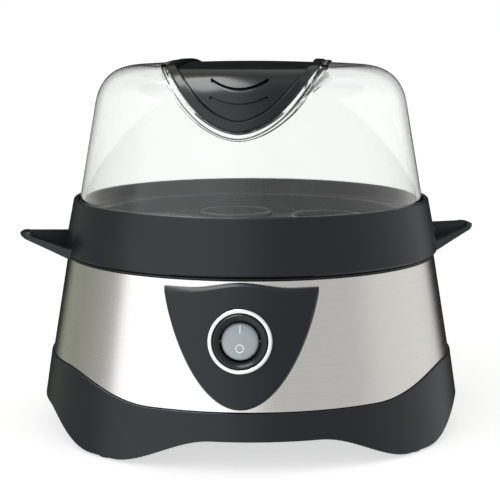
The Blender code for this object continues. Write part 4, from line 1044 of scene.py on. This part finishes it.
def room_colour(tree):
    """The room round the object, graded by azimuth, with its dark wall low down behind."""
    place_in, axes = tree.nodes.new("ShaderNodeTexCoord"), tree.nodes.new("ShaderNodeSeparateXYZ")
    tree.links.new(place_in.outputs["Generated"], axes.inputs["Vector"])
    forward = maths(tree, "MULTIPLY", axes.outputs["Y"], -1.0)
    around = maths(tree, "ARCTAN2", axes.outputs["X"], forward)
    turn = maths(tree, "ADD", maths(tree, "DIVIDE", around, math.tau), 0.5)
    room = colour_ramp(tree, turn, [((degrees + 180) / 360, colour) for degrees, colour in ROOM])
    behind = colour_ramp(tree, axes.outputs["Y"], [(0.72, (0, 0, 0)), (0.86, (1, 1, 1))])
    below = colour_ramp(tree, axes.outputs["Z"], [(0.40, (1, 1, 1)), (0.46, (0, 0, 0))])
    shade = tree.nodes.new("ShaderNodeMix")
    shade.data_type = "RGBA"
    tree.links.new(maths(tree, "MULTIPLY", behind, below), shade.inputs[0])
    tree.links.new(room, shade.inputs[6])
    shade.inputs[7].default_value = (*WALL, 1)
    return shade.outputs[2]


def add_studio():
    """A softbox above left in a graded room that looks white to the eye and through clear plastic."""
    add_softbox("softbox", azimuth=math.radians(-75), elevation=math.radians(70), distance=1.6,
                size=(1.3, 0.9), power=24)
    world = bpy.data.worlds.new("studio")
    bpy.context.scene.world = world
    world.use_nodes = True
    tree = world.node_tree
    tree.nodes.clear()
    add, link = tree.nodes.new, tree.links.new
    lit, seen = add("ShaderNodeBackground"), add("ShaderNodeBackground")
    link(room_colour(tree), lit.inputs["Color"])
    seen.inputs["Color"].default_value = (1, 1, 1, 1)
    path = add("ShaderNodeLightPath")
    direct = maths(tree, "MAXIMUM", path.outputs["Is Camera Ray"], path.outputs["Is Transmission Ray"])
    mixed, output = add("ShaderNodeMixShader"), add("ShaderNodeOutputWorld")
    link(direct, mixed.inputs["Fac"])
    link(lit.outputs[0], mixed.inputs[1])
    link(seen.outputs[0], mixed.inputs[2])
    link(mixed.outputs[0], output.inputs["Surface"])


def add_camera():
    data = bpy.data.cameras.new("camera")
    data.lens = CAMERA_LENS
    data.sensor_fit = "HORIZONTAL"
    data.clip_end = 200
    camera = bpy.data.objects.new("camera", data)
    bpy.context.scene.collection.objects.link(camera)
    camera.location = round_point(CAMERA_DISTANCE, CAMERA_AZIMUTH, CAMERA_HEIGHT)
    camera.rotation_euler = (math.pi / 2 - CAMERA_PITCH, 0, CAMERA_YAW)
    bpy.context.scene.camera = camera


looks = make_materials()
dress_cad_nodes(looks)
build_base(looks)
build_underside(looks)
build_top_of_base(looks)
build_panel(looks)
build_switch(looks)
build_ring(looks)
build_tray(looks)
build_lid(looks)
add_floor()
add_studio()
add_camera()
bpy.context.scene.view_settings.view_transform = "Standard"
